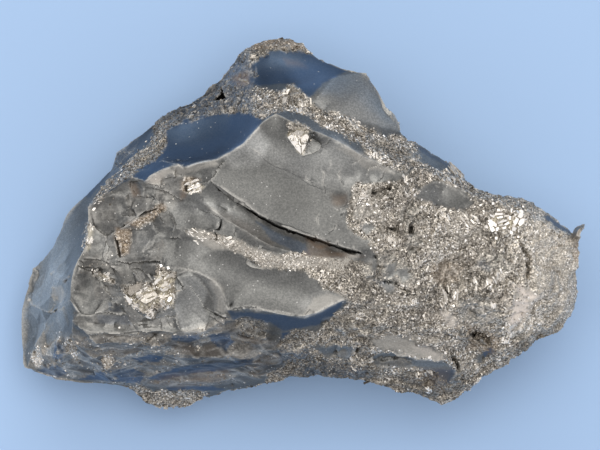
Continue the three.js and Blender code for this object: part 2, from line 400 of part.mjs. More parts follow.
const faces = []; // triangles of the whole stone
const grain = new Map(); // point number to the share of granular breaks that meet there
const INSET = 0.62; // clear strip along an edge, in spacings
function meshBreak([name, skin, hollow, route, spacing = TOP_SPACING]) {
  const loop = corners(route).map((key) => {
    if (!pointOf.has(key)) throw new Error(`${name}: no corner ${key}`);
    return pointOf.get(key);
  });
  const normal = new THREE.Vector3();
  const centre = new THREE.Vector3();
  loop.forEach((v, i) => {
    const [p, q] = [points[v], points[loop[(i + 1) % loop.length]]];
    normal.x += (p.y - q.y) * (p.z + q.z);
    normal.y += (p.z - q.z) * (p.x + q.x);
    normal.z += (p.x - q.x) * (p.y + q.y);
    centre.addScaledVector(p, 1 / loop.length);
  });
  normal.normalize();
  const side = new THREE.Vector3(Math.abs(normal.x) > 0.8 ? 0 : 1, Math.abs(normal.x) > 0.8 ? 1 : 0, 0);
  const u = side.cross(normal).normalize();
  const v = normal.clone().cross(u);
  const flat = new Map();
  const flatten = (p) => {
    const d = p.clone().sub(centre);
    return new THREE.Vector2(d.dot(u), d.dot(v));
  };
  loop.forEach((i) => flat.set(i, flatten(points[i])));
  const contour = loop.map((i) => flat.get(i));
  const triangles = THREE.ShapeUtils.triangulateShape(contour, []).map((t) => {
    const named = t.map((k) => loop[k]);
    return cross2(...named.map((k) => flat.get(k))) < 0 ? named.reverse() : named;
  });
  if (triangles.length !== loop.length - 2) throw new Error(`${name}: ${triangles.length} for ${loop.length}`);
  const outline = [];
  loop.forEach((a, i) => {
    const b = loop[(i + 1) % loop.length];
    outline.push(a);
    let last = a;
    for (const m of alongEdge(a, b)) {
      flat.set(m, flatten(points[m]));
      splitEdge(triangles, last, b, m);
      outline.push(m);
      last = m;
    }
  });
  evenOut(triangles, flat);

  const ring = outline.map((i) => flat.get(i));
  const [low, high] = [new THREE.Vector2(1e9, 1e9), new THREE.Vector2(-1e9, -1e9)];
  ring.forEach((p) => {
    low.min(p);
    high.max(p);
  });
  const clear = (p) => {
    let inside = false;
    let gap = 1e9;
    ring.forEach((a, i) => {
      const b = ring[(i + 1) % ring.length];
      if (a.y > p.y !== b.y > p.y && p.x < ((b.x - a.x) * (p.y - a.y)) / (b.y - a.y) + a.x) inside = !inside;
      const t = Math.max(0, Math.min(1, p.clone().sub(a).dot(b.clone().sub(a)) / a.distanceToSquared(b)));
      gap = Math.min(gap, p.distanceTo(a.clone().lerp(b, t)));
    });
    return inside && gap > INSET * spacing;
  };
  const inner = [];
  const rowStep = spacing * Math.sqrt(0.75);
  for (let r = 0, y = low.y; y < high.y; r++, y += rowStep) {
    for (let x = low.x + (r % 2) * 0.5 * spacing; x < high.x; x += spacing) {
      const p = new THREE.Vector2(x + 0.2 * spacing * lattice(x, y, 1), y + 0.2 * spacing * lattice(x, y, 2));
      if (!clear(p)) continue;
      const at = triangles.findIndex(([a, b, c]) => {
        const [A, B, C] = [flat.get(a), flat.get(b), flat.get(c)];
        return cross2(A, B, p) > 1e-6 && cross2(B, C, p) > 1e-6 && cross2(C, A, p) > 1e-6;
      });
      if (at < 0) continue;
      const m = points.length;
      points.push(new THREE.Vector3());
      flat.set(m, p);
      const [a, b, c] = triangles[at];
      triangles.splice(at, 1, [a, b, m], [b, c, m], [c, a, m]);
      inner.push(m);
    }
  }
  evenOut(triangles, flat);

  const neighbours = new Map(inner.map((i) => [i, new Set()]));
  for (const t of triangles) for (const a of t) for (const b of t) if (a !== b) neighbours.get(a)?.add(b);
  const height = new Map(outline.map((i) => [i, points[i].clone().sub(centre).dot(normal)]));
  inner.forEach((i) => height.set(i, 0));
  relax(inner, neighbours, height, 0);
  const bowl = new Map(outline.map((i) => [i, 0]));
  inner.forEach((i) => bowl.set(i, 0));
  relax(inner, neighbours, bowl, 1);
  const deepest = Math.max(1, ...inner.map((i) => bowl.get(i)));
  for (const i of inner) {
    const h = height.get(i) - (hollow * bowl.get(i)) / deepest;
    const p = flat.get(i);
    points[i].copy(centre).addScaledVector(u, p.x).addScaledVector(v, p.y).addScaledVector(normal, h);
  }
  for (const i of [...outline, ...inner]) {
    const seen = grain.get(i) ?? [0, 0];
    grain.set(i, [seen[0] + (skin === GRAINY ? 1 : 0), seen[1] + 1]);
  }
  faces.push(...triangles);
}
breaks.forEach(meshBreak);

// Every edge has to be met once from each side, or the net has a gap.
const directed = new Set(faces.flatMap((t) => [0, 1, 2].map((k) => `${t[k]}_${t[(k + 1) % 3]}`)));
for (const key of directed) {
  const [a, b] = key.split("_");
  if (!directed.has(`${b}_${a}`)) throw new Error(`open edge at ${points[a].toArray()} to ${points[b].toArray()}`);
}

// Lumps of the granular ore, and the slight unevenness of glassy breaks. The resting break stays flat.
const normals = points.map(() => new THREE.Vector3());
for (const [a, b, c] of faces) {
  const n = points[b].clone().sub(points[a]).cross(points[c].clone().sub(points[a]));
  [a, b, c].forEach((i) => normals[i].add(n));
}
const GRIT = 1.6; // size of the finest lumps
const LUMP = 3.1; // size of a lump
const SWELL = 9; // size of the broad swells between lumps
points.forEach((p, i) => {
  if (p.z <= 0 || !grain.has(i)) return;
  const [grainy, met] = grain.get(i);
  const relief = SHELL_RELIEF + (GRAIN_RELIEF - SHELL_RELIEF) * (grainy / met);
  const lumps = (size) => noise(p.x / size, p.y / size, p.z / size);
  p.addScaledVector(normals[i].normalize(), relief * (0.55 * lumps(GRIT) + lumps(LUMP) + 0.7 * lumps(SWELL)));
});

// Small pits (hollow below 0) and knobs on the upper side: [x, y, radius, height].
const DIMPLES = [
  [7.0, 4.3, 1.7, -0.5], [13.0, 9.0, 2.3, -0.8], [27.0, -8.5, 3.6, -1.3], [-32.4, 12.8, 2.2, 0.7],
  [-41.4, 1.3, 1.5, 0.7], [5.4, 22.8, 2.4, 0.5], [-45.4, -15.4, 1.8, 0.7], [-36.0, -13.0, 2.6, -0.5],
  [18.0, 5.5, 2.4, 0.7], [24.0, -4.6, 2.8, 0.8], [34.8, 0.8, 2.4, 0.6], [39.0, 0.6, 2.0, 0.6], [21.0, -15.5, 3.0, 0.8],
  [33.5, -13.2, 2.2, -0.8], [16.6, -1.5, 1.8, -0.7], [11.6, -17.5, 2.2, -0.6], [27.8, -18.6, 2.4, 0.8],
  [44.0, -13.0, 3.4, 0.5], [45.0, -6.0, 2.6, -0.4], [-44.0, -24.0, 2.0, 0.7], [9.0, 10.4, 1.8, 0.3],
];
points.forEach((p, i) => {
  if (!grain.has(i) || normals[i].z < 0.3) return;
  for (const [x, y, radius, height] of DIMPLES) {
    const d = Math.hypot(p.x / stretch.x - x, p.y / stretch.y - y) / radius;
    if (d < 1) p.addScaledVector(normals[i], height * (1 - d * d));
  }
});

const geometry = new THREE.BufferGeometry();
geometry.setAttribute("position", new THREE.Float32BufferAttribute(points.flatMap((p) => p.toArray()), 3));
geometry.setIndex(faces.flat());

const wasm = await Module();
wasm.setup();
function toSolid(shape) {
  const bare = new THREE.BufferGeometry().setAttribute("position", shape.getAttribute("position"));
  if (shape.index) bare.setIndex(shape.index);
  const merged = mergeVertices(bare, 1e-4);
  const triVerts = new Uint32Array(merged.index.array);
  return new wasm.Manifold(new wasm.Mesh({ numProp: 3, vertProperties: merged.attributes.position.array, triVerts }));
}
function toGeometry(solid) {
  const { vertProperties, triVerts } = solid.getMesh();
  const shape = new THREE.BufferGeometry();
  shape.setAttribute("position", new THREE.BufferAttribute(vertProperties, 3));
  shape.setIndex(new THREE.BufferAttribute(triVerts, 1));
  return shape;
}

// An upright prism over a closed outline, its top pulled toward one point of the outline.
function prism(outline, low, high, narrow = 1) {
  const depth = (high - low) * stretch.z;
  const shape = new THREE.Shape(outline.map(([x, y]) => new THREE.Vector2(x * stretch.x, y * stretch.y)));
  const solid = new THREE.ExtrudeGeometry(shape, { depth, steps: 3, bevelEnabled: false });
  const at = solid.getAttribute("position");
  const [tipX, tipY] = [outline[0][0] * stretch.x, outline[0][1] * stretch.y];
  for (let i = 0; i < at.count; i++) {
    const taper = 1 - (1 - narrow) * (at.getZ(i) / depth) ** 2;
    at.setX(i, tipX + (at.getX(i) - tipX) * taper);
    at.setY(i, tipY + (at.getY(i) - tipY) * taper);
  }
  return solid.translate(0, 0, low * stretch.z);
}

// Star-shaped hole in the north-west shoulder, and the thin curved flake that stands at the east end.
const HOLE = [
  [-14.0, 24.6], [-14.6, 23.4], [-15.6, 22.6], [-16.7, 21.3], [-15.2, 22.1], [-14.2, 22.0], [-13.2, 22.4],
  [-12.4, 22.7], [-13.3, 23.4],
];
const FLAKE = [
  [51.0, 0.0], [50.1, -0.3], [49.2, -1.0], [48.7, -2.0], [48.5, -3.4], [49.6, -4.0], [49.8, -2.8], [50.3, -1.4],
];
const CREVICE = [
  [30.6, -19.4], [31.4, -18.9], [32.8, -19.3], [34.0, -20.4], [34.6, -22.0], [33.4, -21.4], [32.4, -20.5], [31.2, -20.4],
];
const hole = toSolid(prism(HOLE, 18.5, 34));
const crevice = toSolid(prism(CREVICE, 24, 36));
const flake = toSolid(prism(FLAKE, 23.4, 29, 0.55));
let stone = toSolid(geometry).subtract(hole).subtract(crevice).add(flake);

// Prismatic crystals lying in the ore with one edge up: [x, y, length, width, turn, dip], angles in degrees.
const CRYSTALS = [
  [-24.6, -9.0, 4.4, 1.7, 28, 6], [-27.4, -11.3, 5.2, 1.8, 31, -4], [-24.0, -10.9, 3.6, 1.5, 23, 7],
  [-28.4, -13.2, 3.8, 1.4, 35, 4], [-25.6, -12.7, 5.4, 1.9, 27, -5], [-23.6, -13.5, 2.8, 1.4, 31, 8],
  [-27.0, -15.0, 3.4, 1.6, 37, 5], [-24.9, -14.8, 3.0, 1.2, 22, -7], [-35.2, -9.2, 3.2, 1.1, -35, 6],
  [-18.7, 7.0, 2.2, 1.5, 15, 8], [-1.0, 15.6, 2.0, 1.2, 60, 6], [0.6, 14.6, 1.8, 1.1, 20, -8],
  [34.0, 1.4, 2.8, 0.9, 70, 9], [35.6, 0.3, 3.2, 1.0, 62, -8], [38.5, 0.9, 3.0, 1.1, 80, 6],
  [39.5, -0.4, 2.6, 0.9, 72, -9], [34.6, -10.2, 3.2, 0.9, 60, 8], [27.0, -12.2, 3.4, 0.9, 75, -8],
  [20.6, 1.2, 2.8, 1.0, -20, 8], [16.2, 4.2, 2.4, 0.9, 35, 7], [24.4, -1.2, 3.0, 1.0, 50, -6],
  [30.0, -4.6, 2.6, 0.9, 85, 7], [22.4, -18.2, 3.0, 1.1, 15, -6], [6.0, -10.4, 2.6, 1.0, 40, 6],
  [-7.6, -6.6, 2.8, 1.0, -25, 6], [5.0, 18.9, 2.8, 1.0, -30, 7], [9.6, 17.0, 2.6, 1.0, -42, -7],
];
const PROUD = 0.55; // how far the edge of a crystal stands above the ore round it
const surface = new THREE.Mesh(geometry);
const down = new THREE.Vector3(0, 0, -1);
function heightAt(x, y) {
  return new THREE.Raycaster(new THREE.Vector3(x, y, 2 * STONE_HEIGHT), down).intersectObject(surface)[0].point.z;
}
function crystal([netX, netY, length, width, turn, dip]) {
  const [x, y] = [netX * stretch.x, netY * stretch.y];
  const box = new THREE.BoxGeometry(length, width, width).rotateX(THREE.MathUtils.degToRad(38 + dip));
  box.rotateY(THREE.MathUtils.degToRad(dip)).rotateZ(THREE.MathUtils.degToRad(turn));
  return toSolid(box.translate(x, y, heightAt(x, y) + PROUD - 0.7 * width));
}
for (const block of CRYSTALS) stone = stone.add(crystal(block));

const ore = new THREE.MeshStandardMaterial({ color: 0x55544f, roughness: 0.45, metalness: 0.35 });
const specimen = new THREE.Mesh(toGeometry(stone), ore);
specimen.name = "psilomelane_specimen";

const group = new THREE.Group();
group.add(specimen);
export default group;
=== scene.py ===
import itertools
import math

import bmesh
import bpy
import numpy as np
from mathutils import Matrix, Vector
from mathutils.bvhtree import BVHTree
from mathutils.kdtree import KDTree


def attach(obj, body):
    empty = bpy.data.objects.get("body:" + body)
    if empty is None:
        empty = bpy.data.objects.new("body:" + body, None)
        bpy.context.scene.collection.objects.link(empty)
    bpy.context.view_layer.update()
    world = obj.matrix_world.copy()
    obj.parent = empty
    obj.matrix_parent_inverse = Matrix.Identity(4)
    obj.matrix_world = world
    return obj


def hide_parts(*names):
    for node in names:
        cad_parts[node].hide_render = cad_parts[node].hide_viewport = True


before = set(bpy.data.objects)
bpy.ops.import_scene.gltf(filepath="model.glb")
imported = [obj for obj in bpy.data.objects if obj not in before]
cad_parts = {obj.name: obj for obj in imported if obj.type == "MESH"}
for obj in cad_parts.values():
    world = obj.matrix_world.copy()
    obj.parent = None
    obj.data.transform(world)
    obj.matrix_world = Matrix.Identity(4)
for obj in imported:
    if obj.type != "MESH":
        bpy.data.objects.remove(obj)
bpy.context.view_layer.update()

# ---------------------------------------------------------------------------------------------
# Stone body. One lump of psilomelane: hard glassy ore that broke in shells on the west, and ore
# full of small grains on the east. It starts from the solid and gets a finer skin: shells are
# smoothed between their ridges, stepped, rippled and cracked, and granular ore is made lumpy.
# ---------------------------------------------------------------------------------------------
MM = 0.001  # one millimetre in metres: sizes and places on the stone are in millimetres
FAR = 1e9  # farther than any distance on the stone
BASE = 0.001  # a point below this height lies on the flat resting break

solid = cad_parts["psilomelane_specimen"]
stone = bpy.data.objects.new("stone", solid.data.copy())
bpy.context.scene.collection.objects.link(stone)

# Outlines of the granular ore on the upper side, and of glassy spots inside them.
granular_outlines = [
    [(18.5, 8.4), (22, 11), (31, 8), (45, 4), (54, -2), (54, -24), (34, -34), (20, -34), (8, -29), (0, -29),
     (-6, -29), (-6, -26.6), (-3, -25.2), (-4, -22.4), (-3.4, -20.6), (-1.5, -19.2), (2.8, -19),
     (4.6, -17.8), (6.6, -16), (8.1, -14.3), (8.6, -13.2), (6.5, -12.3), (4.3, -11.6), (3, -9.8), (1, -8.3),
     (-3, -7.6), (-6.5, -7.9), (-9, -5.9), (-12, -4.4), (-14.2, -3.5), (-16, -2.7), (-18.3, -1.9),
     (-20.9, -0.9), (-18.4, -0.9), (-15.6, -1.4), (-14.4, -1.9), (-11.6, -2.6), (-8, -4.3), (-4.6, -5.4),
     (-2, -4.9), (2, -5.7), (7, -6.1), (12.3, -6.9), (12.8, -5.2), (12.6, -2.6), (9.4, -1.6), (8.4, -0.2),
     (8.6, 2.6), (8.9, 5), (9.2, 7), (13.8, 7.3), (17, 7.6)],
    [(-38, 3.2), (-34.2, 6.3), (-30.3, 8.6), (-29.4, 9.9), (-25.8, 11.8), (-24.4, 14.2), (-24.2, 17),
     (-21, 18.5), (-16.5, 19.7), (-12, 20.3), (-8.6, 19.8), (-6.3, 18.9), (-4.3, 19.9), (-2.2, 20.6),
     (1, 20.1), (4.4, 17.7), (8.3, 16.1), (11.6, 13.7), (13.8, 11.4), (17.5, 9.4), (22, 10.8), (20, 16),
     (14.5, 16.1), (10.5, 17.9), (7, 20.3), (3.2, 20.6), (2.2, 22), (0.6, 23.4), (-1.3, 25.3), (-4.5, 23.9),
     (-8.5, 25), (-9.4, 26.2), (-7.6, 27.2), (-9, 28.4), (-7.4, 29.4), (-7.2, 30.4), (-5.8, 30.7),
     (-4, 31.6), (0.2, 31.6), (4, 29.6), (2, 34), (-6, 36), (-15, 31), (-28, 21), (-26.5, 17.7),
     (-26.8, 15), (-29.6, 12.6), (-31.8, 10.3), (-35, 7.4)],
    [(-31, -28.6), (-28, -29.6), (-23, -30), (-18.5, -29.8), (-16.5, -30.4), (-20, -35), (-30, -35)],
    [(-48.6, -23.2), (-47.2, -22.2), (-46.2, -23.6), (-46.6, -25.8), (-48, -26)],
    [(-25.4, -7.2), (-22.3, -8.6), (-22.3, -12.8), (-22.7, -14.8), (-25.6, -14.9), (-26.2, -16.8),
     (-28.2, -15.8), (-29.6, -15.2), (-31.4, -13.2), (-32.3, -11), (-28.6, -10.3), (-26.2, -10.4)],
    [(-2.4, 16.2), (-1.3, 14.6), (0.4, 12.4), (1.2, 14.6), (2, 16.9), (0.6, 18), (-2, 18.4)],
    [(-20.7, 8.2), (-19, 7.9), (-17, 6.7), (-18, 5.7), (-20.4, 5.4), (-21.2, 6.4)],
    [(-37, -8.2), (-36, -8.4), (-33.4, -9.7), (-33.6, -10.4), (-35.2, -9.9), (-36.8, -9)],
    [(-32.9, -0.7), (-30.5, -0.9), (-30.4, -3.5), (-30.8, -5), (-32.1, -5.4), (-32.4, -3.8), (-33.2, -2.2)],
    [(-30.6, 0.5), (-28, 1.8), (-24.8, 3.8), (-24, 3.2), (-26.4, 1.2), (-29.4, -0.5)],
    [(-38.6, 0.4), (-37.7, 0.2), (-37.8, -1.6), (-38, -4.3), (-38.7, -4.6)],
    [(-42.4, -21), (-41.2, -20.6), (-40, -22.6), (-40.2, -24.6), (-41.6, -23.2)],
    [(-35.2, -23.4), (-34, -23.2), (-33.6, -25.8), (-34.8, -26.2), (-35.6, -24.6)],
]
glassy_outlines = [
    [(19.4, 4.9), (21.4, 5.8), (22.2, 7.1), (23.4, 7.9), (25.4, 7.8), (28, 6.9), (30, 5.5), (31.2, 4.2),
     (30.2, 3.2), (28, 2.7), (25.6, 3.1), (23.4, 4), (21.4, 4.4)],
    [(12.5, -20.6), (16, -19.6), (18.2, -20), (21.4, -21.4), (24, -21.9), (26.3, -23.9), (26.4, -24.4),
     (20.8, -24.2), (17.6, -22.9), (15.2, -22.8), (13.2, -22)],
    [(13.2, -23), (15.2, -22.9), (17.6, -23), (20.9, -24.3), (26.4, -24.6), (28.3, -26.2), (26.8, -28.6),
     (23.8, -26.2), (20.5, -25.7), (18, -25.7), (13.6, -25.4)],
    [(2, -21.8), (5.6, -21.4), (8.4, -21.6), (10.2, -22.4), (9, -24.2), (6.4, -23.8), (4.4, -23.7)],
    [(15.4, -7), (17, -6.6), (17.4, -8), (16.6, -9.8), (15.2, -9.8)],
    [(17.4, -8.2), (19.4, -8), (20, -9.2), (18.6, -9.9), (17.2, -9.4)],
    [(15, -10.2), (16.6, -10.2), (17.2, -11.6), (15.4, -12.2), (14.8, -11.2)],
    [(10.6, 0.2), (13, 0.4), (13.6, -1), (12, -1.8), (10.8, -1.2)],
    [(12, -3.2), (12.8, -3.6), (13.6, -5.4), (13.4, -8.8), (12.7, -8.4), (12.4, -6)],
    [(43.2, 2.2), (49, 0.4), (48.7, -2.4), (46.4, -0.8), (44, 0.9)],
    [(48.6, -2.7), (49.9, -2.7), (51.6, 0.3), (49.4, -0.2)],
    [(31.4, -23.4), (34.4, -22.1), (35, -23), (32.4, -24.8)],
]

# Matte patches of the granular ore, where the crystals are too fine to see.
matte = [
    [(24.5, -6.8), (28, -6.8), (29.6, -8), (28.2, -10.4), (25, -10.4), (23.6, -8.6)],
    [(28, -13.2), (34, -13), (36.4, -16), (33, -18.6), (28.8, -17)],
    [(33, -4.8), (37, -5), (38.4, -8), (34, -8.6), (30.6, -7.4)],
    [(38.8, -10.6), (42.6, -12), (43, -13.4), (38.4, -13.6)],
    [(38.2, -13.4), (41, -13.6), (41, -17), (38.6, -18)],
    [(24.4, -15.6), (27.4, -15.6), (29, -18), (27.2, -18.6)],
    [(18, 3.4), (21.4, 3.4), (22, 1), (19.4, -0.6), (17.6, 1.4)],
    [(19, -1.6), (21.8, -1.4), (22, -4.4), (19.6, -5.8), (18.4, -3.6)],
    [(6, -18), (11, -17.4), (16, -18.6), (12, -19.8), (6, -19.6)],
    [(-13, -20.4), (-4, -21.4), (2, -22), (-6, -23.6), (-16, -23.4), (-19, -21)],
    [(11.6, -5.6), (16.4, -5), (20.6, -7.4), (21, -10.6), (18, -11.6), (16, -12.4), (12.6, -10.4),
     (10.6, -8)],
    [(10, 3.6), (12.4, 4), (12.8, 1.6), (11, 0.4), (9.4, 1.8)],
    [(16, 12.6), (21, 11), (25, 10.8), (22, 13.6)],
    [(-12, 29.4), (-9, 28), (-8.4, 24.6), (-12, 25), (-14, 26.6)],
]

# Dark glassy ore that shows between scattered crystals. Three of these patches also carry a
# painted blue reflection and shade.
sparse = [
    [(-13, 30.5), (-9, 31.5), (-8, 28), (-8.4, 24.6), (-8.2, 21.6), (-9, 20.4), (-12, 20.8), (-16.5, 20.1),
     (-21, 19), (-24, 17.7), (-27, 18.5), (-20, 23.5)],
    [(-28.6, 13.4), (-26.8, 13.6), (-26.4, 17), (-28.4, 18)],
    [(-36, 6), (-33, 7.6), (-31.4, 9.4), (-33, 10), (-36, 8)],
    [(0.8, -24.4), (6, -24.6), (12, -25.4), (13.4, -27.4), (8, -28.4), (0, -27.6)],
    [(-4, -22.4), (2.4, -22.2), (2, -24.4), (-4, -25)], [(22, -26.6), (27, -26), (28.4, -28.4), (24, -29)],
    [(30, 9.6), (36, 6.6), (42, 3.4), (38, 7.4)],
]

# Steps where one shell ends above another: the drop, how far the lower side takes to rise again,
# and the line. The lower side is on the right of the line.
steps = [
    (0.42, 2.6, [(-24.4, 3.7), (-26.5, 2.5), (-29.6, 1.4), (-31.2, 0), (-33.2, -0.9)]),
    (0.35, 1.8, [(-29.7, 3.2), (-30, 2.0), (-31.4, 1.7), (-32.6, 1.9)]),
    (0.22, 1.6, [(-35.2, 0.4), (-34, 1.2), (-32.9, 1), (-32.5, 0.2)]),
    (0.5, 1.6, [(-33.3, -2.1), (-32.7, -4), (-32.2, -6.1)]),
    (0.4, 2.4, [(-35.6, -5), (-35, -3.6), (-34.9, -2.1), (-35.9, -1.1), (-36.9, -0.3)]),
    (0.32, 1.4, [(-35.1, -2.2), (-34.3, -3.9), (-34.7, -5.1), (-35.5, -6.0)]),
    (0.5, 2.6, [(-39, -6.2), (-36.2, -6.1), (-34.6, -6.7), (-33.2, -8), (-32.4, -8.8)]),
    (0.35, 1.6, [(-38.6, -7.8), (-37.2, -8.4), (-36.3, -9.8), (-35.7, -10.8)]),
    (0.45, 1.8, [(-31.7, -12.4), (-32.3, -13.1), (-33.6, -12.9), (-34.8, -11.9), (-35.6, -10.6)]),
    (0.4, 1.6, [(-27.6, -9.1), (-28.1, -9.7), (-28.9, -9.9), (-29.5, -8.8), (-30.8, -7.7)]),
    (0.3, 1.5, [(-30.9, -7.6), (-28.9, -7.8), (-27.6, -9), (-26.8, -9.9)]),
    (0.5, 3.0, [(-33.2, -6.5), (-30.8, -6.9), (-28, -6.5), (-25.6, -6.5), (-24.4, -6.6)]),
    (0.3, 1.4, [(-24.5, -7.8), (-24.3, -6.6), (-24.1, -5.8)]),
    (0.4, 2.0, [(-23.2, -2.4), (-22, -2.3), (-21.2, -2.6)]),
    (0.38, 1.8, [(-23.2, 2.2), (-23, 1), (-22.5, -0.2), (-22.9, -1.6), (-23, -2.4)]),
    (0.45, 2.6, [(-37, -16.3), (-36, -15.8), (-34.2, -15.9), (-32.4, -16.3), (-30.8, -16)]),
    (0.35, 2.0, [(-36.9, -16.2), (-35.6, -14.4), (-34.6, -13.2), (-33.8, -12.9)]),
    (0.3, 1.5, [(-33.6, -13.3), (-32.6, -14.4), (-31.8, -15.6), (-31.2, -16.4)]),
    (0.4, 2.4, [(-39.4, -18.5), (-38.2, -19.8), (-35.4, -19.4), (-33.4, -19.6), (-29.4, -19),
     (-26.4, -19.6)]),
    (0.4, 1.6, [(-35.6, -21.2), (-33.6, -20.3), (-31.2, -20), (-29, -20.2), (-27.8, -20.6)]),
    (0.4, 1.6, [(-37.8, -22.7), (-35.4, -22.4), (-33.2, -22.5), (-30.2, -23), (-27.4, -22.6),
     (-24.4, -23)]),
    (0.35, 1.5, [(-31.8, -22.9), (-29.6, -21.9), (-27.8, -21.1), (-26.4, -21.4)]),
    (0.35, 1.8, [(-26.2, -15.3), (-25.4, -16.2), (-24.8, -17.5), (-24.9, -18.7)]),
    (0.3, 1.4, [(-24.2, -15.9), (-23.7, -17.2), (-23, -18.4)]),
    (0.35, 1.5, [(-22, -15.5), (-22.3, -16.2), (-23.2, -16.7), (-24.4, -16.1)]),
    (0.5, 1.6, [(-22.8, -16.3), (-22.2, -17.5), (-21.4, -18.7)]),
    (0.12, 2.6, [(-15.4, -13.9), (-15.9, -12.9), (-16.8, -11.4), (-18.2, -10), (-19.6, -9.2)]),
    (0.22, 2.4, [(-13, -16), (-14.6, -15.8), (-16.1, -15.3), (-17.1, -14.8), (-17.8, -13.6), (-18.9, -12),
     (-20.2, -10.4)]),
    (0.35, 1.8, [(-17.2, -14.8), (-15.9, -15.6), (-14.4, -16.4), (-12.5, -16.9)]),
    (0.3, 1.6, [(-16.5, -16.1), (-15.2, -16.9), (-13.7, -17.9)]),
    (0.6, 1.4, [(-22, -9.6), (-21.4, -10.4), (-20.9, -11.7)]),
    (0.1, 1.6, [(-20.2, -14.6), (-18.6, -15.8), (-17.2, -17.2), (-16.4, -18.6)]),
    (0.4, 1.8, [(-27.6, 7.5), (-26.3, 7.2), (-25, 6.9), (-24.5, 6.3)]),
    (0.35, 1.2, [(-24.9, 6.8), (-24.8, 7.4), (-24.8, 8.3)]),
    (0.35, 1.6, [(-24.4, 8.1), (-22.2, 8.8), (-22.4, 9.4), (-22.3, 10.4)]),
    (0.4, 1.8, [(-26.9, 6.7), (-25.6, 6.3), (-24.4, 6.2), (-23.2, 5.5), (-21.8, 4.7), (-20.6, 4.3)]),
    (0.3, 1.4, [(-23.9, 4.4), (-25, 4), (-25.9, 4.7), (-26.2, 5.9)]),
    (0.3, 1.6, [(-30.4, 7.6), (-30, 6.2), (-29.2, 5.2), (-28, 5)]),
    (0.3, 2.2, [(-30.6, 5.7), (-31.4, 6), (-33.2, 5.8), (-34.2, 5.4)]),
    (0.45, 2.2, [(-13.2, 11.7), (-14.4, 10.6), (-14.9, 9.6), (-15.4, 8.6), (-16.5, 7.9), (-18.2, 7.4)]),
    (0.45, 2.6, [(0.4, 12.3), (2, 12.6), (3.4, 13.4), (4.8, 14.4), (5.4, 15.4)]),
    (0.12, 3.0, [(-10, 14.6), (-8.7, 13.5), (-7.4, 12.7), (-6.3, 11.6), (-5, 10.7), (-3, 9.9), (-1, 9),
     (0.5, 8), (1.8, 7.2), (4.2, 6.3)]),
    (0.22, 1.2, [(4.6, 5.2), (4.3, 6.6), (4, 8), (4.3, 9), (3.7, 10.2)]),
    (0.22, 1.4, [(8.2, 6.8), (7.3, 7.8), (6.9, 9), (7.5, 10.2)]),
    (0.16, 0.9, [(1, 8.9), (1.1, 8.1), (1.8, 7.8), (2, 8.6)]),
    (0.22, 1.5, [(9, 10.8), (10.6, 11.7), (11.9, 13.4)]), (0.15, 1.2, [(3.5, 2.3), (3, 1.2), (3.3, -0.2)]),
    (0.2, 1.4, [(4.8, -1.5), (6, -0.8), (6.4, 0.4)]),
    (0.25, 1.6, [(5.8, 3.3), (7, 3), (8, 3.5), (8.4, 4.6)]),
    (0.3, 1.6, [(-3.2, -5.1), (-5, -4.7), (-7, -4.1), (-9, -3.6), (-11.4, -2.7), (-11.8, -1.5),
     (-11.4, -0.3)]),
    (0.3, 1.4, [(-16.8, 2.8), (-16.8, 2.3), (-16, 2.2), (-14.4, 1.4), (-13.9, 0.6)]),
    (0.35, 1.4, [(-10.4, -14.6), (-8.4, -14.7), (-7.4, -15.2)]),
    (0.35, 1.6, [(0.6, -16.3), (1.4, -15.5), (2, -14.9)]),
    (0.35, 1.4, [(-11.6, -17.2), (-10.6, -16.5), (-9.8, -16.6)]),
    (0.35, 1.4, [(-11.6, -19.5), (-8, -20.3), (-6, -20.4), (-5.9, -19)]),
    (0.4, 2.2, [(20.6, -24.8), (18, -24.2), (16, -24.4), (14, -24.6)]),
    (0.3, 1.2, [(6.4, -21.7), (6.7, -22.8), (6.3, -23.8)]),
    (0.3, 1.2, [(13.8, 7.6), (14.7, 8.4), (15.1, 9.6), (14, 10.5), (12.4, 10), (11.8, 8.6)]),
    (0.5, 2.4, [(32.6, -6.4), (31, -7), (29.4, -8.4), (28.6, -10.2)]),
    (0.45, 2.4, [(13.8, -5), (13.9, -6.6), (14.6, -8), (14.4, -9.8), (12.8, -12.2)]),
    (0.4, 1.8, [(15.6, -0.5), (17, -0.9), (18.6, -1.2)]),
    (0.4, 2.4, [(39.4, -3), (40.3, -4.4), (41.4, -6), (41.3, -7.6), (40.8, -9.8)]),
    (0.6, 2.4, [(33.8, -22.3), (32.6, -21.2), (31.4, -20), (30, -19.2)]),
    (0.5, 2.2, [(24, -22), (25.6, -21.6), (27, -20.8), (28.4, -20)]),
    (0.4, 2.0, [(9.4, -24), (10.4, -22.8), (10.8, -21.4)]),
    (0.4, 1.8, [(-43.2, -19.6), (-44.8, -21), (-46.2, -23.6)]),
    (0.4, 2.0, [(-49.4, -14.6), (-48, -14.6), (-46.4, -15.6), (-44.8, -16), (-43.8, -14.8)]),
    (0.3, 1.8, [(-44.9, -10.6), (-45, -12.4), (-44.4, -13.8), (-43.2, -14.4)]),
]
